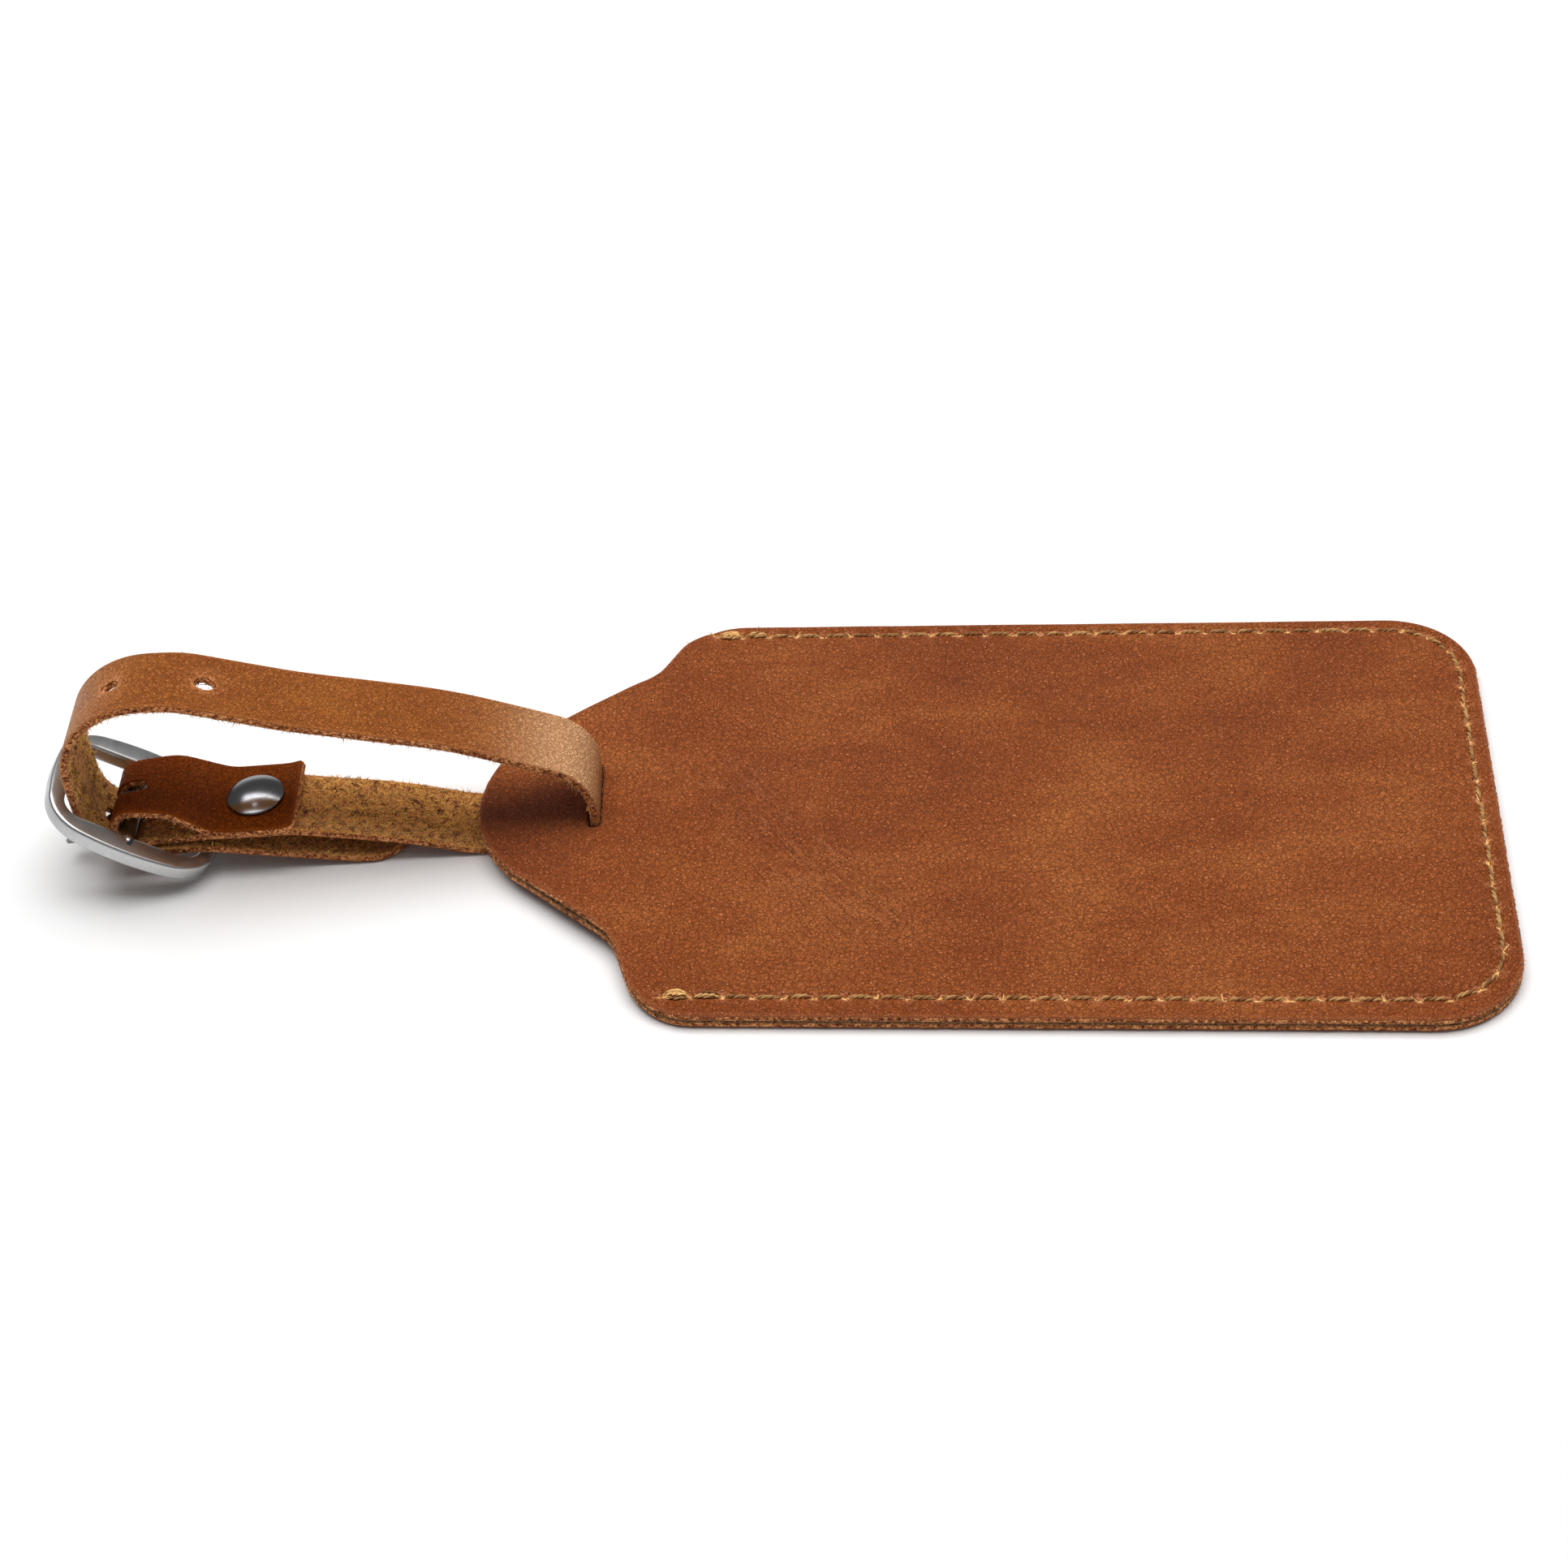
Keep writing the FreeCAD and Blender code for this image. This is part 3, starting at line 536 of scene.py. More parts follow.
def grain_leather(name, light, middle, dark, creased=False, patch=0.042, seed=0.0, relief=0.2):
    """Waxed full-grain leather: cloudy patches, veins, a fine pebble with painted shade and glints, and
    pale edges that are partly worn and partly a painted highlight.
    """
    n = Nodes(name)
    place = n.coordinates(location=(seed, seed * 1.7, 0))
    clouds = n.noise(place, patch, 5.0, 0.55, 0.6)
    veins = n.coordinates((0.35, 1.0, 1.0), rotation=(0, 0, 0.6), location=(seed, 4, 0))
    streaks = n.noise(veins, 0.16, 4.0, 0.6, 0.8)
    base = n.three_tones(n.weighed(clouds, 0.62, streaks, 0.38), 0.30, 0.70, light, middle, dark)
    # fine pebble: painted shade in the valleys between cells and painted glints on some cell tops
    swirl = n.add("TexNoise", {"Vector": place, "Scale": 1.4, "Detail": 2.0}).outputs["Color"]
    bent = n.add("VectorMath", {0: place, 1: swirl}, operation="ADD").outputs[0]
    cells = n.voronoi(bent, PEBBLE)
    ridges = n.voronoi(bent, PEBBLE, feature="DISTANCE_TO_EDGE")
    fine = n.noise(place, 3.4, 3.0, 0.65)
    painted_valley_shade = n.weighed(cells, 0.6, fine, 0.5)
    base = n.mix(n.span(painted_valley_shade, 0.46, 0.68, 0.0, 0.62), base, scaled(middle, 0.40))
    scatter = n.span(n.noise(place, 1.9, 3.0, 0.7), 0.42, 0.60)
    painted_glint = n.times(n.span(cells, 0.10, 0.38, 1.0, 0.0), scatter)
    base = n.mix(n.times(painted_glint, 0.75), base, paled(middle, 1.3, 0.13))
    # rubbed corners and a pale line along the edges, partly burnished wear and partly a painted highlight
    # on the rounded rim, then a slightly darker band further in
    wobble = n.plus(n.attribute("rim"), n.times(n.noise(place, 0.9, 3.0), 0.5))
    base = n.mix(n.span(wobble, 0.35, 0.75, 0.6, 0.0), base, paled(middle, 1.2, 0.05))
    base = n.mix(n.span(wobble, 1.1, 1.8, 0.14, 0.0), base, dark)
    # punched or needle holes: a pale bruise, and painted shade that darkens the middle of each hole
    mark = n.attribute("mark")
    bruise = n.times(mark, n.span(n.noise(place, 2.2, 3.0), 0.42, 0.58))
    base = n.mix(n.times(bruise, 0.85), base, paled(middle, 1.6, 0.16))
    base = n.mix(n.span(mark, 0.80, 0.97, 0.0, 0.85), base, scaled(dark, 0.15))
    # the leather is paler at its two bends; the flap is darker, partly darker leather and partly painted
    # shade
    paler = n.times(n.attribute("bend"), n.span(n.plus(cells, fine), 0.55, 1.05, 0.95, 0.40))
    base = n.mix(paler, base, srgb(240, 188, 138))
    shade = n.attribute("shade")
    base = n.mix(n.times(shade, 0.92), base, (0.55, 0.36, 0.12), blend="MULTIPLY")
    height = n.weighed(n.math("MINIMUM", n.times(ridges, 3.0), 1.0), 0.75, fine, 0.55)
    normal = n.bump(height, relief)
    if creased:
        # a slanting band of fine wrinkles across the neck's root
        local = n.add("Mapping", {
            "Vector": n.add("TexCoord").outputs["Object"], "Location": (0.0041, -0.0073, 0),
            "Rotation": (0, 0, math.radians(-50)), "Scale": (MM, MM, MM)}, vector_type="TEXTURE").outputs[0]
        along, across, _ = n.add("SeparateXYZ", {0: local}).outputs
        drawn = n.add("VectorMath", {0: local, 1: (0.28, 1.55, 1.0)}, operation="MULTIPLY").outputs[0]
        folds = n.noise(drawn, 1.0, 3.0, 0.55, 0.7)
        uneven = n.span(n.noise(place, 0.14), 0.28, 0.5)
        band = n.times(n.span(n.math("ABSOLUTE", across), 2.0, 8.0, 1.0, 0.0),
                       n.times(n.span(n.math("ABSOLUTE", along), 13.0, 26.0, 1.0, 0.0), uneven))
        normal = n.bump(n.times(folds, band), 0.5, normal)
        # painted shade in the wrinkles' hollows and painted highlight on their crests
        base = n.mix(n.times(band, n.span(folds, 0.48, 0.36, 0.0, 0.55)), base, dark)
        base = n.mix(n.times(band, n.span(folds, 0.53, 0.66, 0.0, 0.3)), base, paled(middle, 1.2, 0.08))
    roughness = n.span(n.plus(clouds, n.times(fine, 0.4)), 0.4, 0.9, 0.42, 0.58)
    gloss = n.span(shade, 0.0, 1.0, 0.2, 0.05)
    return n.finish(Base_Color=base, Roughness=roughness, Normal=normal, Specular_IOR_Level=gloss)


def suede(name, light, middle, dark, seed=0.0):
    """Flesh side: short matted fibres."""
    n = Nodes(name)
    clump = n.noise(n.coordinates(location=(seed, 0, seed)), 1.5, 4.0, 0.65, 1.4)
    hair = n.noise(n.coordinates((1.0, 2.2, 1.6), rotation=(0.3, 0.5, 0.4)), 1.8, 4.0, 0.7, 1.8)
    mixed = n.weighed(clump, 0.5, hair, 0.5)
    return n.finish(Base_Color=n.three_tones(mixed, 0.40, 0.60, light, middle, dark), Roughness=0.95,
                    Normal=n.bump(mixed, 0.55), Specular_IOR_Level=0.15, Sheen_Weight=0.25,
                    Sheen_Roughness=0.6)


def cut_edge(name, light, middle, dark):
    """Raw cut edge: compressed fibres in thin layers."""
    n = Nodes(name)
    layers = n.noise(n.coordinates((0.45, 0.45, 3.4)), 1.6, 5.0, 0.7, 0.7)
    grit = n.noise(n.coordinates(), 2.3, 4.0, 0.7)
    mixed = n.weighed(layers, 0.35, grit, 0.65)
    return n.finish(Base_Color=n.three_tones(mixed, 0.40, 0.59, light, middle, dark), Roughness=0.9,
                    Normal=n.bump(mixed, 0.3), Specular_IOR_Level=0.2)


def own_tone(n, streaks, amount, light, dark):
    """Every fibre or strand has a tone of its own, varied a little along it."""
    tone = n.plus(n.attribute("tone"), n.times(n.math("SUBTRACT", streaks, 0.5), amount))
    return n.mix(n.span(tone, 0.1, 0.9), dark, light)


def fibre(name, light, dark):
    """Loose fibres of leather."""
    n = Nodes(name)
    base = own_tone(n, n.noise(n.coordinates(), 2.5), 0.5, light, dark)
    return n.finish(Base_Color=base, Roughness=0.85, Specular_IOR_Level=0.2, Sheen_Weight=0.2)


def thread_material(name, light, dark):
    """Waxed twisted thread."""
    n = Nodes(name)
    fuzz = n.noise(n.coordinates(), 5.0, 4.0, 0.7)
    return n.finish(Base_Color=own_tone(n, fuzz, 0.7, light, dark), Roughness=0.55,
                    Normal=n.bump(fuzz, 0.05), Specular_IOR_Level=0.35)


def brushed_metal(name, colour, low, high, stretch):
    """Nickel plate with fine brushing."""
    n = Nodes(name)
    lines = n.noise(n.coordinates(stretch), 1.0, 4.0, 0.7)
    dull = n.noise(n.coordinates(), 0.35, 3.0)
    roughness = n.plus(n.span(lines, 0.3, 0.7, low, high), n.span(dull, 0.35, 0.7, 0.0, 0.06))
    base = n.mix(n.span(lines, 0.3, 0.7), colour, scaled(colour, 0.9))
    return n.finish(Base_Color=base, Metallic=1.0, Roughness=roughness)


def polished_metal(name, colour, low, high):
    """Polished nickel with faint wear."""
    n = Nodes(name)
    wear = n.noise(n.coordinates(), 1.3, 5.0, 0.7)
    return n.finish(Base_Color=n.mix(n.span(wear, 0.3, 0.75), colour, scaled(colour, 0.8)),
                    Metallic=1.0, Roughness=n.span(wear, 0.35, 0.75, low, high))


def card_stock(name):
    """Uncoated card with faint ruled lines on the side that faces the window."""
    n = Nodes(name)
    place = n.coordinates()
    paper = n.noise(place, 3.0, 5.0, 0.7)
    across = n.add("SeparateXYZ", {0: place}).outputs[1]
    off_line = n.math("ABSOLUTE", n.math("SUBTRACT", n.math("PINGPONG", across, 4.0), 3.6))
    base = n.mix(n.span(paper, 0.3, 0.7), srgb(236, 231, 219), srgb(247, 244, 236))
    base = n.mix(n.times(n.math("LESS_THAN", off_line, 0.14), 0.55), base, srgb(150, 140, 128))
    return n.finish(Base_Color=base, Roughness=0.8, Normal=n.bump(paper, 0.02))


def clear_film(name):
    """Clear flexible film, a little wavy."""
    n = Nodes(name)
    waves = n.noise(n.coordinates(), 0.12)
    haze = n.noise(n.coordinates(), 0.9, 3.0)
    return n.finish(Base_Color=(0.95, 0.97, 0.97), Roughness=n.span(haze, 0.3, 0.7, 0.06, 0.16), Alpha=0.22,
                    Normal=n.bump(waves, 0.4), Specular_IOR_Level=0.6)


def floor_material(name):
    """Plain pale floor."""
    n = Nodes(name)
    dust = n.noise(n.coordinates(), 0.02, 3.0)
    return n.finish(Base_Color=n.mix(n.span(dust, 0.3, 0.7), (0.80, 0.80, 0.80), (0.81, 0.81, 0.81)),
                    Roughness=0.9, Specular_IOR_Level=0.1)


front_grain = grain_leather("front_grain", srgb(180, 103, 46), srgb(155, 78, 29), srgb(127, 56, 17),
                            creased=True)
back_grain = grain_leather("back_grain", srgb(164, 90, 40), srgb(143, 69, 25), srgb(117, 50, 15), seed=31.0)
strap_grain = grain_leather("strap_grain", srgb(176, 104, 36), srgb(160, 88, 24), srgb(142, 68, 15),
                            patch=0.09, seed=12.0, relief=0.18)
flesh = suede("flesh", srgb(255, 194, 88), srgb(228, 142, 48), srgb(86, 40, 9))
panel_flesh = suede("panel_flesh", srgb(182, 130, 66), srgb(150, 98, 44), srgb(84, 48, 18), seed=9.0)
raw_edge = cut_edge("raw_edge", srgb(250, 178, 116), srgb(170, 94, 48), srgb(48, 21, 8))
flesh_fibre = fibre("flesh_fibre", srgb(255, 204, 106), srgb(118, 58, 12))
edge_fibre = fibre("edge_fibre", srgb(252, 190, 128), srgb(136, 68, 28))
seam_thread = thread_material("seam_thread", srgb(236, 186, 116), srgb(112, 62, 16))
nickel = brushed_metal("nickel", (0.54, 0.54, 0.54), 0.27, 0.36, (2.0, 0.25, 2.0))
# nickel darkened as painted shade: the prong and the buckle's bar sit in shade and reflect dark leather
prong_shaded_nickel = polished_metal("prong_shaded_nickel", (0.22, 0.22, 0.22), 0.10, 0.22)
rivet_metal = polished_metal("rivet_metal", (0.27, 0.27, 0.28), 0.17, 0.26)

# ---------------- panels

def panel_corners():
    """Round neck, flaring sides, steep shoulders and a long rounded body."""
    touch_x = NECK_RADIUS * (1 - math.sin(NECK_FLARE))
    touch_y = NECK_RADIUS * math.cos(NECK_FLARE)
    rise = math.tan(NECK_FLARE)
    side = [(0.0, touch_y - touch_x * rise, NECK_RADIUS),
            (WAIST_AT, touch_y + (WAIST_AT - touch_x) * rise, WAIST_RADIUS),
            (SHOULDER_AT, TAG_HALF, SHOULDER_RADIUS),
            (TAG_LENGTH, TAG_HALF, CORNER_RADIUS)]
    return side[::-1] + [(x, -y, radius) for x, y, radius in side]


def seam_route():
    near, far = -TAG_HALF + SEAM_NEAR, TAG_HALF - SEAM_FAR
    end = TAG_LENGTH - SEAM_END
    return [(SEAM_START, near, 0.0), (end, near, SEAM_CORNER), (end, far, SEAM_CORNER),
            (SEAM_START, far, 0.0)]


SEAM_STEP = 0.1
seam_line = sample(seam_route(), SEAM_STEP, closed=False)
stitch_count = round(SEAM_STEP * (len(seam_line) - 1) / STITCH_PITCH)
needle_holes = seam_line[np.linspace(0, len(seam_line) - 1, stitch_count + 1).round().astype(int)]


def neck_rise(x):
    return NECK_LIFT * smoothstep((LIFT_STARTS - x) / (LIFT_STARTS - LIFT_ENDS))


def to_row(points):
    """From the tag's frame to the row frame, in millimetres."""
    return points + np.array([TIP, 0.0, 0.0])


def surface_relief(points, seed):
    """Height that the seam presses into a panel's outer face, with soft waves."""
    relief = -0.28 * near_field(points, seam_line, 0.6) - 0.34 * near_field(points, needle_holes, 0.5)
    return relief + 0.07 * ripple(points, 17.0, seed) + 0.04 * ripple(points, 7.0, seed + 5)


def place_front(points, height):
    gape = NECK_GAPE * smoothstep((26.0 - points[:, 0]) / 8) * smoothstep((points[:, 0] - 3.0) / 10)
    relief = height / LEATHER * surface_relief(points, 1.0)
    z = LEATHER + neck_rise(points[:, 0]) + height + relief + gape + FLOOR_GAP + LAYER_GAP
    return to_row(np.column_stack([points, z]))


def place_back(points, height):
    """Flesh side up, grain side down."""
    relief = height / LEATHER * surface_relief(points, 8.0)
    z = neck_rise(points[:, 0]) + LEATHER - height - np.minimum(relief, 0.0) + FLOOR_GAP
    return to_row(np.column_stack([points, z]))


slot_corners = centred(SLOT_AT, SLOT_WIDTH, SLOT_LENGTH, 0.5, STRAP_YAW)
window_corners = centred(WINDOW_AT, WINDOW_LENGTH, WINDOW_WIDTH, WINDOW_CORNER)


def seam_band():
    """Extra points beside the seam, close enough together to follow its dips."""
    line = sample(seam_route(), 0.33, closed=False)
    along = headings(line)
    left = np.stack([-along[:, 1], along[:, 0]], axis=1)
    offsets = (-1.3, -0.95, -0.62, -0.3, 0.0, 0.3, 0.62, 0.95, 1.3)
    return np.vstack([line + left * offset for offset in offsets])


def build_panels():
    band = seam_band()
    front = leather_sheet("front_leather", panel_corners(), [slot_corners], 1.0, place_front, LEATHER,
                          [front_grain, panel_flesh, raw_edge], needle_holes, band)
    back = leather_sheet("back_leather", panel_corners(), [slot_corners, window_corners], 1.2, place_back,
                         LEATHER, [back_grain, panel_flesh, raw_edge], needle_holes, band)
    for thing, node, slot in ((front, "front_panel", "front_leather"),
                              (back, "back_panel", "back_leather")):
        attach(thing, "tag")
        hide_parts(node)


build_panels()

# ---------------- strap

def strap_corners():
    """Mid-line of the strap from the flap's cut edge to the tail's tip, seen from the side."""
    flap = LAYER_HEIGHT + STRAP_THICK + 0.1
    fold, fold_bottom = BAR_AT - FOLD_RADIUS, BAR_HEIGHT - FOLD_RADIUS
    return [
        # flap, round the buckle's bar and back under the rivet
        (FLAP_END, flap + 0.45, 0), (-38.6, flap, 7.0), (-46.4, flap, 6.0), (-51.9, FOLD_TOP, 5.0),
        (fold, FOLD_TOP, 2.6), (fold, fold_bottom, FOLD_RADIUS), (-52.0, fold_bottom, 14.0),
        (-48.5, LAYER_HEIGHT, 14.0), (-37.4, LAYER_HEIGHT, 14.0),
        # down to the surface, under the neck, up through the slot and back over the top
        (-24.2, 3.5, 60.0), (-15.4, STRAP_LOW, 14.0), (0.0, STRAP_LOW, 1.1), (0.35, 11.0, 7.0),
        (-16.2, 18.15, 60.0), (-34.7, 22.85, 60.0), (-47.7, 27.2, 14.0),
        # down through the buckle, under its bar and out along the surface
        (-63.05, 27.7, 11.0), (-62.95, 4.2, 6.2), (-48.7, 4.25, 14.0), (-29.7, STRAP_LOW, 14.0),
        (TAIL_TIP, STRAP_LOW, 0),
    ]


ROUTE_STEP = 0.1
SOFTEN = 15  # steps over which the route's bends are evened out

strap_line = sample(strap_corners(), ROUTE_STEP, closed=False)
kernel = np.exp(-0.5 * (np.arange(-SOFTEN, SOFTEN + 1) / 5.0) ** 2)
kernel /= kernel.sum()
padded = np.pad(strap_line, ((SOFTEN, SOFTEN), (0, 0)), "edge")
smoothed = np.stack([np.convolve(padded[:, k], kernel, "valid") for k in (0, 1)], axis=1)
smoothed[:20], smoothed[-20:] = strap_line[:20], strap_line[-20:]
strap_line = smoothed
strap_spots = run_lengths(strap_line)
strap_length = strap_spots[-1]
strap_heading = headings(strap_line)
strap_origin = np.array([TIP + SLOT_AT, 0.0, 0.0])


def strap_spot(along, up):
    """Distance along the strap at the point nearest to this one."""
    return strap_spots[np.argmin(np.hypot(strap_line[:, 0] - along, strap_line[:, 1] - up))]


def strap_to_row(points):
    """From the strap's frame (along, across, up) to the row frame."""
    along, across, up = points.T
    return strap_origin + np.column_stack([*turned(along, across, STRAP_YAW), up])


def place_strap(points, height):
    """The strap's flat plane is (distance along the route, across). The grain side faces out."""
    spots = points[:, 0]
    middle = [np.interp(spots, strap_spots, strap_line[:, k]) for k in (0, 1)]
    heading = [np.interp(spots, strap_spots, strap_heading[:, k]) for k in (0, 1)]
    lift = height - STRAP_THICK / 2
    lift = lift + 0.05 * np.array([noise.noise(Vector((s / 9.0, t / 6.0, 3.0))) for s, t in points])
    return strap_to_row(np.column_stack([middle[0] + heading[1] * lift, points[:, 1],
                                         middle[1] - heading[0] * lift]))


JOIN_SPOT = strap_spot(STRAP_JOIN, LAYER_HEIGHT)
HOLE_SPOTS = [JOIN_SPOT + distance for distance in (101.3, 112.8, 124.3)]
HOLE_RADIUS = 1.2
PRONG_SPOT = strap_spot(-61.4, 6.3) + 0.7
PRONG_HOLE_RADIUS = 1.5  # the prong goes through aslant


def ragged_hole(x, y, radius):
    """A punched hole with an uneven rim."""
    count = 13
    corners = []
    for k in range(count):
        angle = 2 * math.pi * k / count
        reach = radius * (1 + rng.uniform(-0.22, 0.16))
        corners.append((x + reach * math.cos(angle), y + reach * math.sin(angle) * 0.85, 0.1))
    return corners


def strap_outline():
    """Wide flap, narrow fold, and the strap's own width to its rounded tail."""
    tapers, fold, leaves = strap_spot(-47.5, 7.5), strap_spot(BAR_AT, FOLD_TOP), strap_spot(-52.0, 5.7)
    side = [(0.0, -FLAP_HALF, 0.5), (tapers, -FLAP_HALF, 6.0), (fold, -FOLD_HALF, 4.0),
            (leaves, -FOLD_HALF, 6.0), (JOIN_SPOT, -STRAP_HALF, 6.0),
            (strap_length, -STRAP_HALF, STRAP_HALF - 0.05)]
    return side + [(x, -y, radius) for x, y, radius in side[::-1]]


def strap_shades(points):
    """How dark the leather is, 1 on the flap, where it is partly darker leather and partly painted shade,
    and how much paler it is at its two bends.
    """
    spots = points[:, 0]
    # the flap: partly darker leather, partly painted shade
    dark = smoothstep((JOIN_SPOT + 4.0 - spots) / 6.0)
    right = np.exp(-((spots - strap_spot(-0.8, 13.0)) / 7.5) ** 2)
    left = np.exp(-((spots - strap_spot(-62.6, 18.0)) / 7.5) ** 2)
    return np.column_stack([dark, np.clip(right + 0.9 * left, 0, 1)])


def build_strap():
    slit = rectangle(strap_spot(-55.2, FOLD_TOP), strap_spot(-55.4, BAR_HEIGHT - FOLD_RADIUS),
                     -0.95, 0.95, 0.9)
    punched = [ragged_hole(spot, 0.0, HOLE_RADIUS) for spot in HOLE_SPOTS]
    holes = punched + [ragged_hole(PRONG_SPOT, 0.0, PRONG_HOLE_RADIUS), slit]
    marks = [(spot, 0.0) for spot in HOLE_SPOTS]
    strap = leather_sheet("strap_leather", strap_outline(), holes, 0.8, place_strap, STRAP_THICK,
                          [strap_grain, flesh, raw_edge], marks, shades=strap_shades, round_grain=0.22,
                          round_flesh=0.14, rough=0.11, edge_step=0.3, mark_width=1.7)
    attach(strap, "strap")
    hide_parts("strap")


build_strap()

# ---------------- loose fibres

def grown(place, start, direction, curl, length, radius, tone, rings=3):
    """One fibre, given in (plane, height) coordinates and mapped by place."""
    shares = np.linspace(0, 1, rings)[:, None]
    points = start + direction * length * shares + curl * length * shares ** 2
    return place(points[:, :2], points[:, 2]), radius * (1 - 0.75 * shares[:, 0]), tone


def random_direction():
    return np.array([*turned(1.0, 0.0, rng.uniform(0, 2 * math.pi)), 0.0])


def flesh_fibres(place, areas):
    """Matted fibres on the flesh side. areas holds (x range, y range, fibres per square mm)."""
    paths = []
    for x_low, x_high, y_low, y_high, density in areas:
        for _ in range(int((x_high - x_low) * (y_high - y_low) * density)):
            x, y = rng.uniform(x_low, x_high), rng.uniform(y_low, y_high)
            swirl = 2.5 * math.pi * noise.noise(Vector((x / 2.2, y / 2.2, 1.0)))
            lean = np.array([*turned(1.0, 0.0, swirl), 0.0]) + 0.8 * random_direction()
            upright = rng.uniform(0.25, 0.8)
            direction = unit(lean) * (1 - upright) + np.array([0, 0, -upright])
            curl = random_direction() * 0.5 + np.array([0, 0, 0.25])
            length, radius = rng.uniform(0.4, 1.1), rng.uniform(0.055, 0.10)
            tone = 0.68 + 1.5 * noise.noise(Vector((x, y, 9.0))) + rng.uniform(-0.25, 0.25)
            paths.append(grown(place, np.array([x, y, 0.04]), direction, curl, length, radius,
                               min(1.0, max(0.0, tone))))
    return paths


def edge_fibres(place, outlines, thick, density, longest):
    """Short fuzz along cut edges. outlines holds (corners, outward sign)."""
    paths = []
    for corners, sign in outlines:
        ring = sample(corners, 1.0 / density)
        for spot, forward in zip(ring, headings(ring, closed=True)):
            outward = np.array([forward[1], -forward[0], 0.0]) * sign
            height = thick * rng.random() ** 1.6 * 0.8
            direction = outward * rng.uniform(0.3, 1.0) + np.array([*forward, 0.0]) * rng.uniform(-0.9, 0.9)
            direction[2] = rng.uniform(-0.7, 0.35)
            length = longest * rng.random() ** 1.5 + 0.08
            start = np.array([*spot, max(height, 0.06)])
            paths.append(grown(place, start, direction, random_direction() * 0.4, length,
                               rng.uniform(0.025, 0.055), rng.random()))
    return paths


def build_fibres():
    inner = STRAP_HALF - 0.15
    run_start, run_end = strap_spot(FLAP_END - 1.5, LAYER_HEIGHT), strap_spot(-8.0, STRAP_LOW)
    fold_end = strap_spot(-53.0, BAR_HEIGHT - FOLD_RADIUS)
    top_start, top_end = strap_spot(0.3, 5.0), strap_spot(-52.0, 27.3)
    bend_end, tail_end = strap_spot(-61.0, 6.0), strap_length - STRAP_HALF
    areas = [(run_start, run_end, -inner, inner, 9.0), (fold_end, run_start, -inner, inner, 3.0),
             (top_start, top_start + 14, -inner, inner, 6.0), (top_start + 14, top_end, -inner, inner, 2.5),
             (top_end, bend_end, -inner, -1.4, 9.0), (top_end, bend_end, 1.4, inner, 9.0),
             (bend_end, tail_end, -inner, inner, 4.0)]
    nap = add_tubes("strap_nap", flesh_fibres(place_strap, areas), 3, flesh_fibre)
    paths = edge_fibres(place_strap, [(strap_outline(), 1.0)], STRAP_THICK, 9.0, 0.55)
    for spot in HOLE_SPOTS:
        rim = centred(spot, 2.2, 2.2, 1.0989)
        paths += edge_fibres(place_strap, [(rim, -1.0)], STRAP_THICK * 1.3, 6.0, 0.28)
    fuzz = add_tubes("strap_fuzz", paths, 3, edge_fibre)
    for thing in (nap, fuzz):
        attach(thing, "strap")
    outlines = [(panel_corners(), 1.0), (slot_corners, -1.0)]
    for name, place, slot in (("front_fuzz", place_front, "front_leather"),
                              ("back_fuzz", place_back, "back_leather")):
        fuzz = add_tubes(name, edge_fibres(place, outlines, LEATHER, 6.0, 0.34), 3, edge_fibre)
        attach(fuzz, "tag")


build_fibres()

# ---------------- threads

def twisted(line, plies, offset, radius, pitch, tones):
    """Strands twisted round a line of points in the row frame, each with a tone from this range."""
    phase = rng.uniform(0, 6)
    tangents = headings(line)
    side = np.cross(tangents, np.array([0, 0, 1.0]))
    side /= np.maximum(np.linalg.norm(side, axis=1)[:, None], 1e-6)
    above = np.cross(side, tangents)
    strands = []
    for ply in range(plies):
        angle = phase + 2 * math.pi * (ply / plies + run_lengths(line) / pitch)
        strand = line + offset * (side * np.cos(angle)[:, None] + above * np.sin(angle)[:, None])
        strands.append((strand, [radius] * len(line), rng.uniform(*tones)))
    return strands


def stitch_line(place, start, end, thick, crown, bow, dive=0.55):
    """A stitch from one needle hole to the next: up out of the leather, over it and down again."""
    shares = np.linspace(0.0, 1.0, 17)
    across = unit(np.array([start[1] - end[1], end[0] - start[0]]))
    flat = start + (end - start) * (0.06 + 0.88 * shares)[:, None]
    flat = flat + across * (bow * np.sin(math.pi * shares))[:, None]
    arch = smoothstep(np.minimum(shares, 1 - shares) / 0.24)
    return place(flat, thick - dive + (crown + dive) * arch)


def tuft(place, hole, along, thick):
    """Frayed strands and hairs that stand out of a needle hole, mostly across the seam."""
    across = np.array([-along[1], along[0]]) * rng.choice((-1, 1))
    paths = []
    for count, lengths, radii in ((7, (0.35, 0.8), (0.13, 0.20)), (6, (0.4, 1.1), (0.03, 0.05))):
        for _ in range(count):
            way = across * rng.uniform(-0.5, 1.0) + along * rng.uniform(-1.2, 1.2)
            direction = np.array([*way, rng.uniform(0.2, 0.55)])
            curl = np.array([*(along * rng.uniform(-0.5, 0.5)), -rng.uniform(0.25, 0.6)])
            start = np.array([*(hole + along * rng.uniform(-0.3, 0.3)), thick - 0.05])
            paths.append(grown(place, start, direction, curl, rng.uniform(*lengths), rng.uniform(*radii),
                               rng.uniform(0.55, 1.1), rings=5))
    return paths


def bundle(place, start, end, thick, strands, spread):
    """Back-tacked stitches on top of each other."""
    paths = []
    for _ in range(strands):
        bow = rng.uniform(-spread, spread)
        shift = (end - start) * rng.uniform(-0.12, 0.12)
        crown = 0.14 + 0.5 * rng.random() * (1 - abs(bow))
        line = stitch_line(place, start + shift, end + shift, thick, crown, bow, dive=0.4)
        paths += twisted(line, 2, 0.10, 0.11, 1.5, (0.0, 1.1))
    return paths


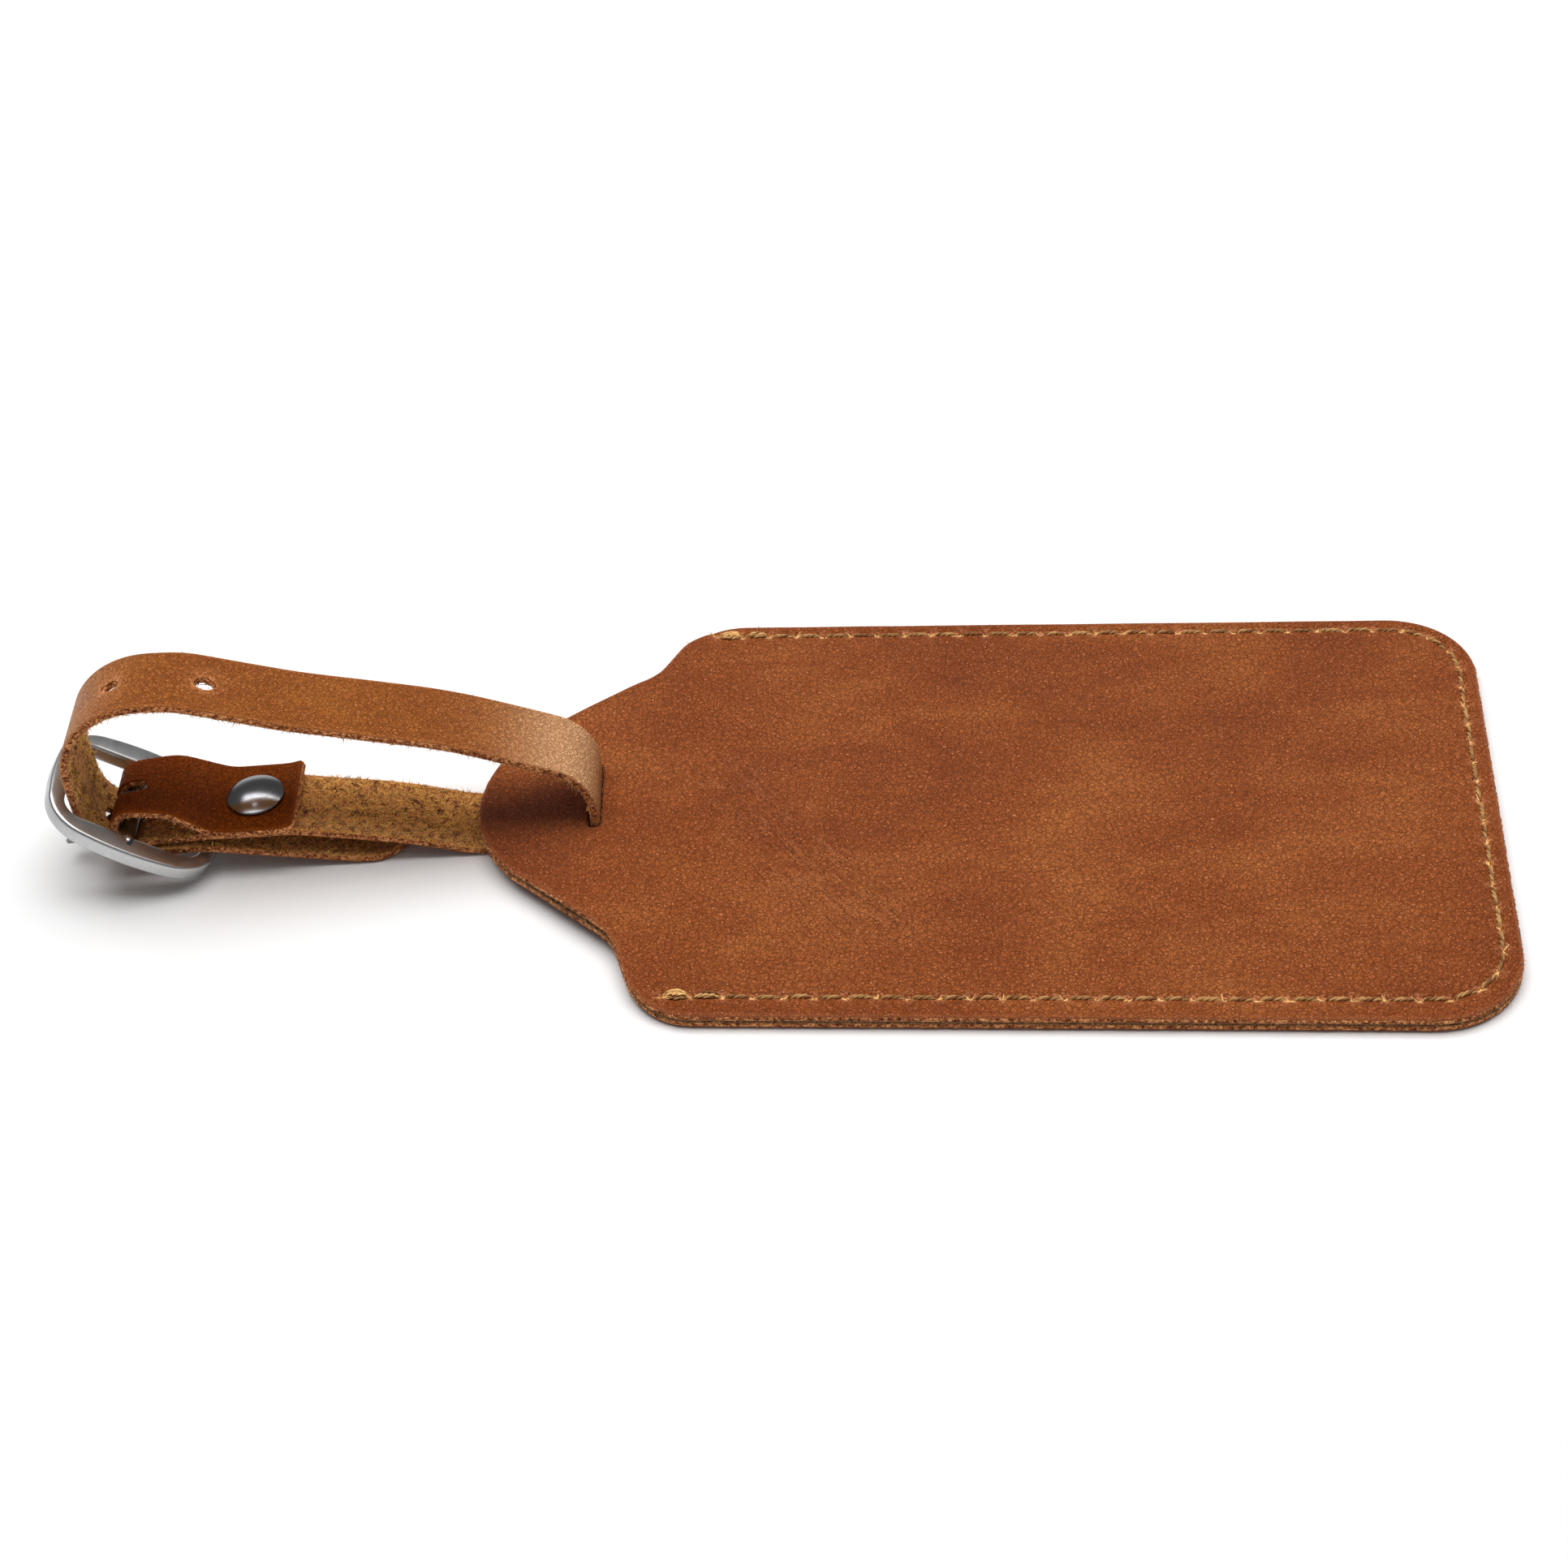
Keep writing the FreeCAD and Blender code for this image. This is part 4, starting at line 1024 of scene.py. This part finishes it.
def build_thread(name, node, place, thick, frayed):
    paths = []
    last = len(needle_holes) - 1
    for number in range(last):
        start, end = needle_holes[number], needle_holes[number + 1]
        if frayed and number in (0, last - 1):
            paths += bundle(place, start, end, thick, 10, 0.75)
        elif frayed and number in (1, last - 2):
            paths += bundle(place, start, end, thick, 6, 0.45)
        else:
            line = stitch_line(place, start, end, thick, 0.12, rng.uniform(-0.08, 0.08))
            paths += twisted(line, 3, 0.15, 0.17, 2.1, (0.05, 0.52))
    body = add_tubes(name, paths, 7, seam_thread)
    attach(body, "tag")
    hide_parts(node)
    if frayed:
        paths = []
        for hole, along in zip(needle_holes, headings(needle_holes)):
            paths += tuft(place, hole, along, thick)
        ends = add_tubes(name + "_tufts", paths, 4, seam_thread)
        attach(ends, "tag")


build_thread("needle_stitches", "needle_thread", place_front, LEATHER, True)
build_thread("bobbin_stitches", "bobbin_thread", place_back, LEATHER, False)

# ---------------- metal pieces

def closed_rings(name, rings, material, ends_meet):
    """A surface through closed rings of points. The last ring joins the first, or both are capped."""
    count = len(rings[0])
    faces = []
    total = len(rings) * count
    for start in range(0, total if ends_meet else total - count, count):
        faces += ring_faces(start, (start + count) % total, count)
    if not ends_meet:
        faces += [tuple(range(count))[::-1], tuple(range(total - count, total))]
    thing = add_object(name, np.vstack(rings), faces, [material])
    outward_normals(thing)
    return thing


def oval(long, wide, end_slack, side_slack, end_arc, side_arc, rounding):
    """The frame's edge in its own plane: crowned ends and sides with rounded corners."""
    x, y = long - end_slack, wide - side_slack
    return [(long, 0, end_arc), (x, y, rounding), (0, wide, side_arc), (-x, y, rounding),
            (-long, 0, end_arc), (-x, -y, rounding), (0, -wide, side_arc), (x, -y, rounding)]


def from_buckle(points):
    """From the buckle's own frame to the row frame."""
    along, across, up = points.T
    along, up = turned(along, up, -BUCKLE_PITCH)
    return strap_to_row(np.column_stack([BAR_AT + along, across, BAR_HEIGHT + up]))


def build_buckle():
    outer = oval(11.3, 10.0, 0.8, 1.8, 22.0, 34.0, 6.0)
    opening = oval(9.0, 6.45, 0.2, 0.15, 30.0, 100.0, 2.6)
    count = 240
    bend = np.linspace(0, math.pi / 2, 6)
    section = []  # (edge, inset from it, height)
    for edge, sign in ((outer, 1), (opening, -1)):
        top = [(edge, sign * BUCKLE_ROUNDING * (1 - math.cos(a)),
                BUCKLE_HALF_THICK - BUCKLE_ROUNDING * (1 - math.sin(a))) for a in bend]
        bottom = [(edge, inset, -height) for edge, inset, height in top[::-1]]
        section += bottom + top if sign > 0 else top[::-1] + bottom[::-1]
    rings = []
    for edge, inset, height in section:
        fine = sample(inset_corners(edge, inset), 0.05)
        turns = np.unwrap(np.arctan2(fine[:, 1], fine[:, 0] * 0.8))
        wanted = turns[0] + 2 * math.pi * np.arange(count) / count
        turns = np.append(turns, turns[0] + 2 * math.pi)
        fine = np.vstack([fine, fine[:1]])
        flat = np.stack([np.interp(wanted, turns, fine[:, k]) for k in (0, 1)], axis=1)
        rings.append(np.column_stack([flat, np.full(count, height)]))
    # the top and the underside are a little crowned
    for first, second in ((11, 12), (23, 0)):
        middle = (rings[first] + rings[second]) / 2
        middle[:, 2] += math.copysign(0.06, middle[0, 2])
        rings.append(middle)
    order = list(range(12)) + [24] + list(range(12, 24)) + [25]
    body = closed_rings("buckle", [from_buckle(rings[k]) for k in order], nickel, True)
    line = from_buckle(np.column_stack([np.zeros(9), np.linspace(-8.1, 8.1, 9), np.zeros(9)]))
    # the bar takes the darkened nickel, painted shade
    bar = add_tubes("buckle_bar", [(line, [BAR_RADIUS] * 9, 0.5)], 40, prong_shaded_nickel)
    for thing in (body, bar):
        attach(thing, "buckle")
        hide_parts("buckle_frame")


def build_rivet():
    low = LAYER_HEIGHT + STRAP_THICK * 1.5 + 0.12
    dome = (RIVET_RADIUS ** 2 + RIVET_DOME ** 2) / (2 * RIVET_DOME)
    profile = [(RIVET_POST, LAYER_HEIGHT - 0.4), (RIVET_POST, low - 0.01), (RIVET_RADIUS - 0.1, low),
               (RIVET_RADIUS, low + 0.1), (RIVET_RADIUS, low + RIVET_RIM - 0.12)]
    for step in range(1, 25):
        reach = (RIVET_RADIUS - 0.06) * math.cos(step / 25 * math.pi / 2)
        profile.append((reach, low + RIVET_RIM + math.sqrt(dome ** 2 - reach ** 2) - dome + RIVET_DOME))
    turns = np.linspace(0, 2 * math.pi, 96, endpoint=False)
    x, y = np.cos(turns), np.sin(turns)
    rings = [strap_to_row(np.column_stack([RIVET_AT + r * x, r * y, np.full(96, z)])) for r, z in profile]
    cap = closed_rings("rivet_dome", rings, rivet_metal, False)
    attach(cap, "strap")
    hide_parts("rivet_cap")


build_buckle()
build_rivet()

# ---------------- pieces that keep their CAD shape

# the prong takes the darkened nickel, painted shade
for node, material in (("buckle_prong", prong_shaded_nickel), ("rivet_base", rivet_metal),
                       ("address_card", card_stock("card_stock")),
                       ("window_film", clear_film("clear_film"))):
    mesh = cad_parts[node].data
    mesh.materials.clear()
    mesh.materials.append(material)
    mesh.polygons.foreach_set("material_index", [0] * len(mesh.polygons))

# ---------------- camera, light, floor

CAMERA_LENS = 61.49
CAMERA_TARGET = TIP + 37.82, 4.01, 2.2
CAMERA_DISTANCE = 336.39
CAMERA_HEADING = -0.155111
CAMERA_PITCH = 0.733996
CAMERA_ROLL = -0.108978
FLOOR_HALF = 1500.0
LIGHT_AT = 0.0, 0.13, 0.75  # metres
LIGHT_POWER = 8.3
SKY_LEVELS = (0.0, 0.8), (0.06, 0.8), (0.20, 0.14), (0.86, 0.16), (0.96, 1.2)


def build_stage():
    scene = bpy.context.scene
    camera_data = bpy.data.cameras.new("camera")
    camera_data.lens = CAMERA_LENS
    camera_data.sensor_width = 36.0
    camera_data.clip_start, camera_data.clip_end = 0.01, 20
    camera = bpy.data.objects.new("camera", camera_data)
    scene.collection.objects.link(camera)
    scene.camera = camera
    # stands back from its target, looking down at it
    camera.matrix_world = (Matrix.Translation(Vector(CAMERA_TARGET) * MM)
                           @ Matrix.Rotation(-CAMERA_HEADING, 4, "Z")
                           @ Matrix.Rotation(math.pi / 2 - CAMERA_PITCH, 4, "X")
                           @ Matrix.Rotation(CAMERA_ROLL, 4, "Z")
                           @ Matrix.Translation((0, 0, CAMERA_DISTANCE * MM)))

    square = [(x, y, 0) for x, y, _ in rectangle(-FLOOR_HALF, FLOOR_HALF, -FLOOR_HALF, FLOOR_HALF, 0)]
    floor = add_object("floor", square, [(0, 1, 2, 3)], [floor_material("pale_floor")])

    light_data = bpy.data.lights.new("overhead", "AREA")
    light_data.shape = "RECTANGLE"
    light_data.size, light_data.size_y = 1.05, 0.62
    light_data.energy = LIGHT_POWER
    light = bpy.data.objects.new("overhead", light_data)
    light.location = LIGHT_AT
    light.rotation_euler = (-Vector(LIGHT_AT)).to_track_quat("-Z", "Y").to_euler()
    scene.collection.objects.link(light)

    world = bpy.data.worlds.new("studio")
    scene.world = world
    world.use_nodes = True
    # pale at the horizon, dark above it and bright overhead
    nodes, links = world.node_tree.nodes, world.node_tree.links
    ramp = nodes.new("ShaderNodeValToRGB").color_ramp
    for stop, (position, level) in enumerate(SKY_LEVELS):
        element = ramp.elements[stop] if stop < 2 else ramp.elements.new(position)
        element.position = position
        element.color = (level, level, level, 1)
    heights = nodes.new("ShaderNodeSeparateXYZ")
    links.new(nodes.new("ShaderNodeTexCoord").outputs["Generated"], heights.inputs[0])
    links.new(heights.outputs["Z"], nodes["Color Ramp"].inputs[0])
    links.new(nodes["Color Ramp"].outputs[0], nodes["Background"].inputs["Color"])
    scene.view_settings.view_transform = "Standard"


build_stage()
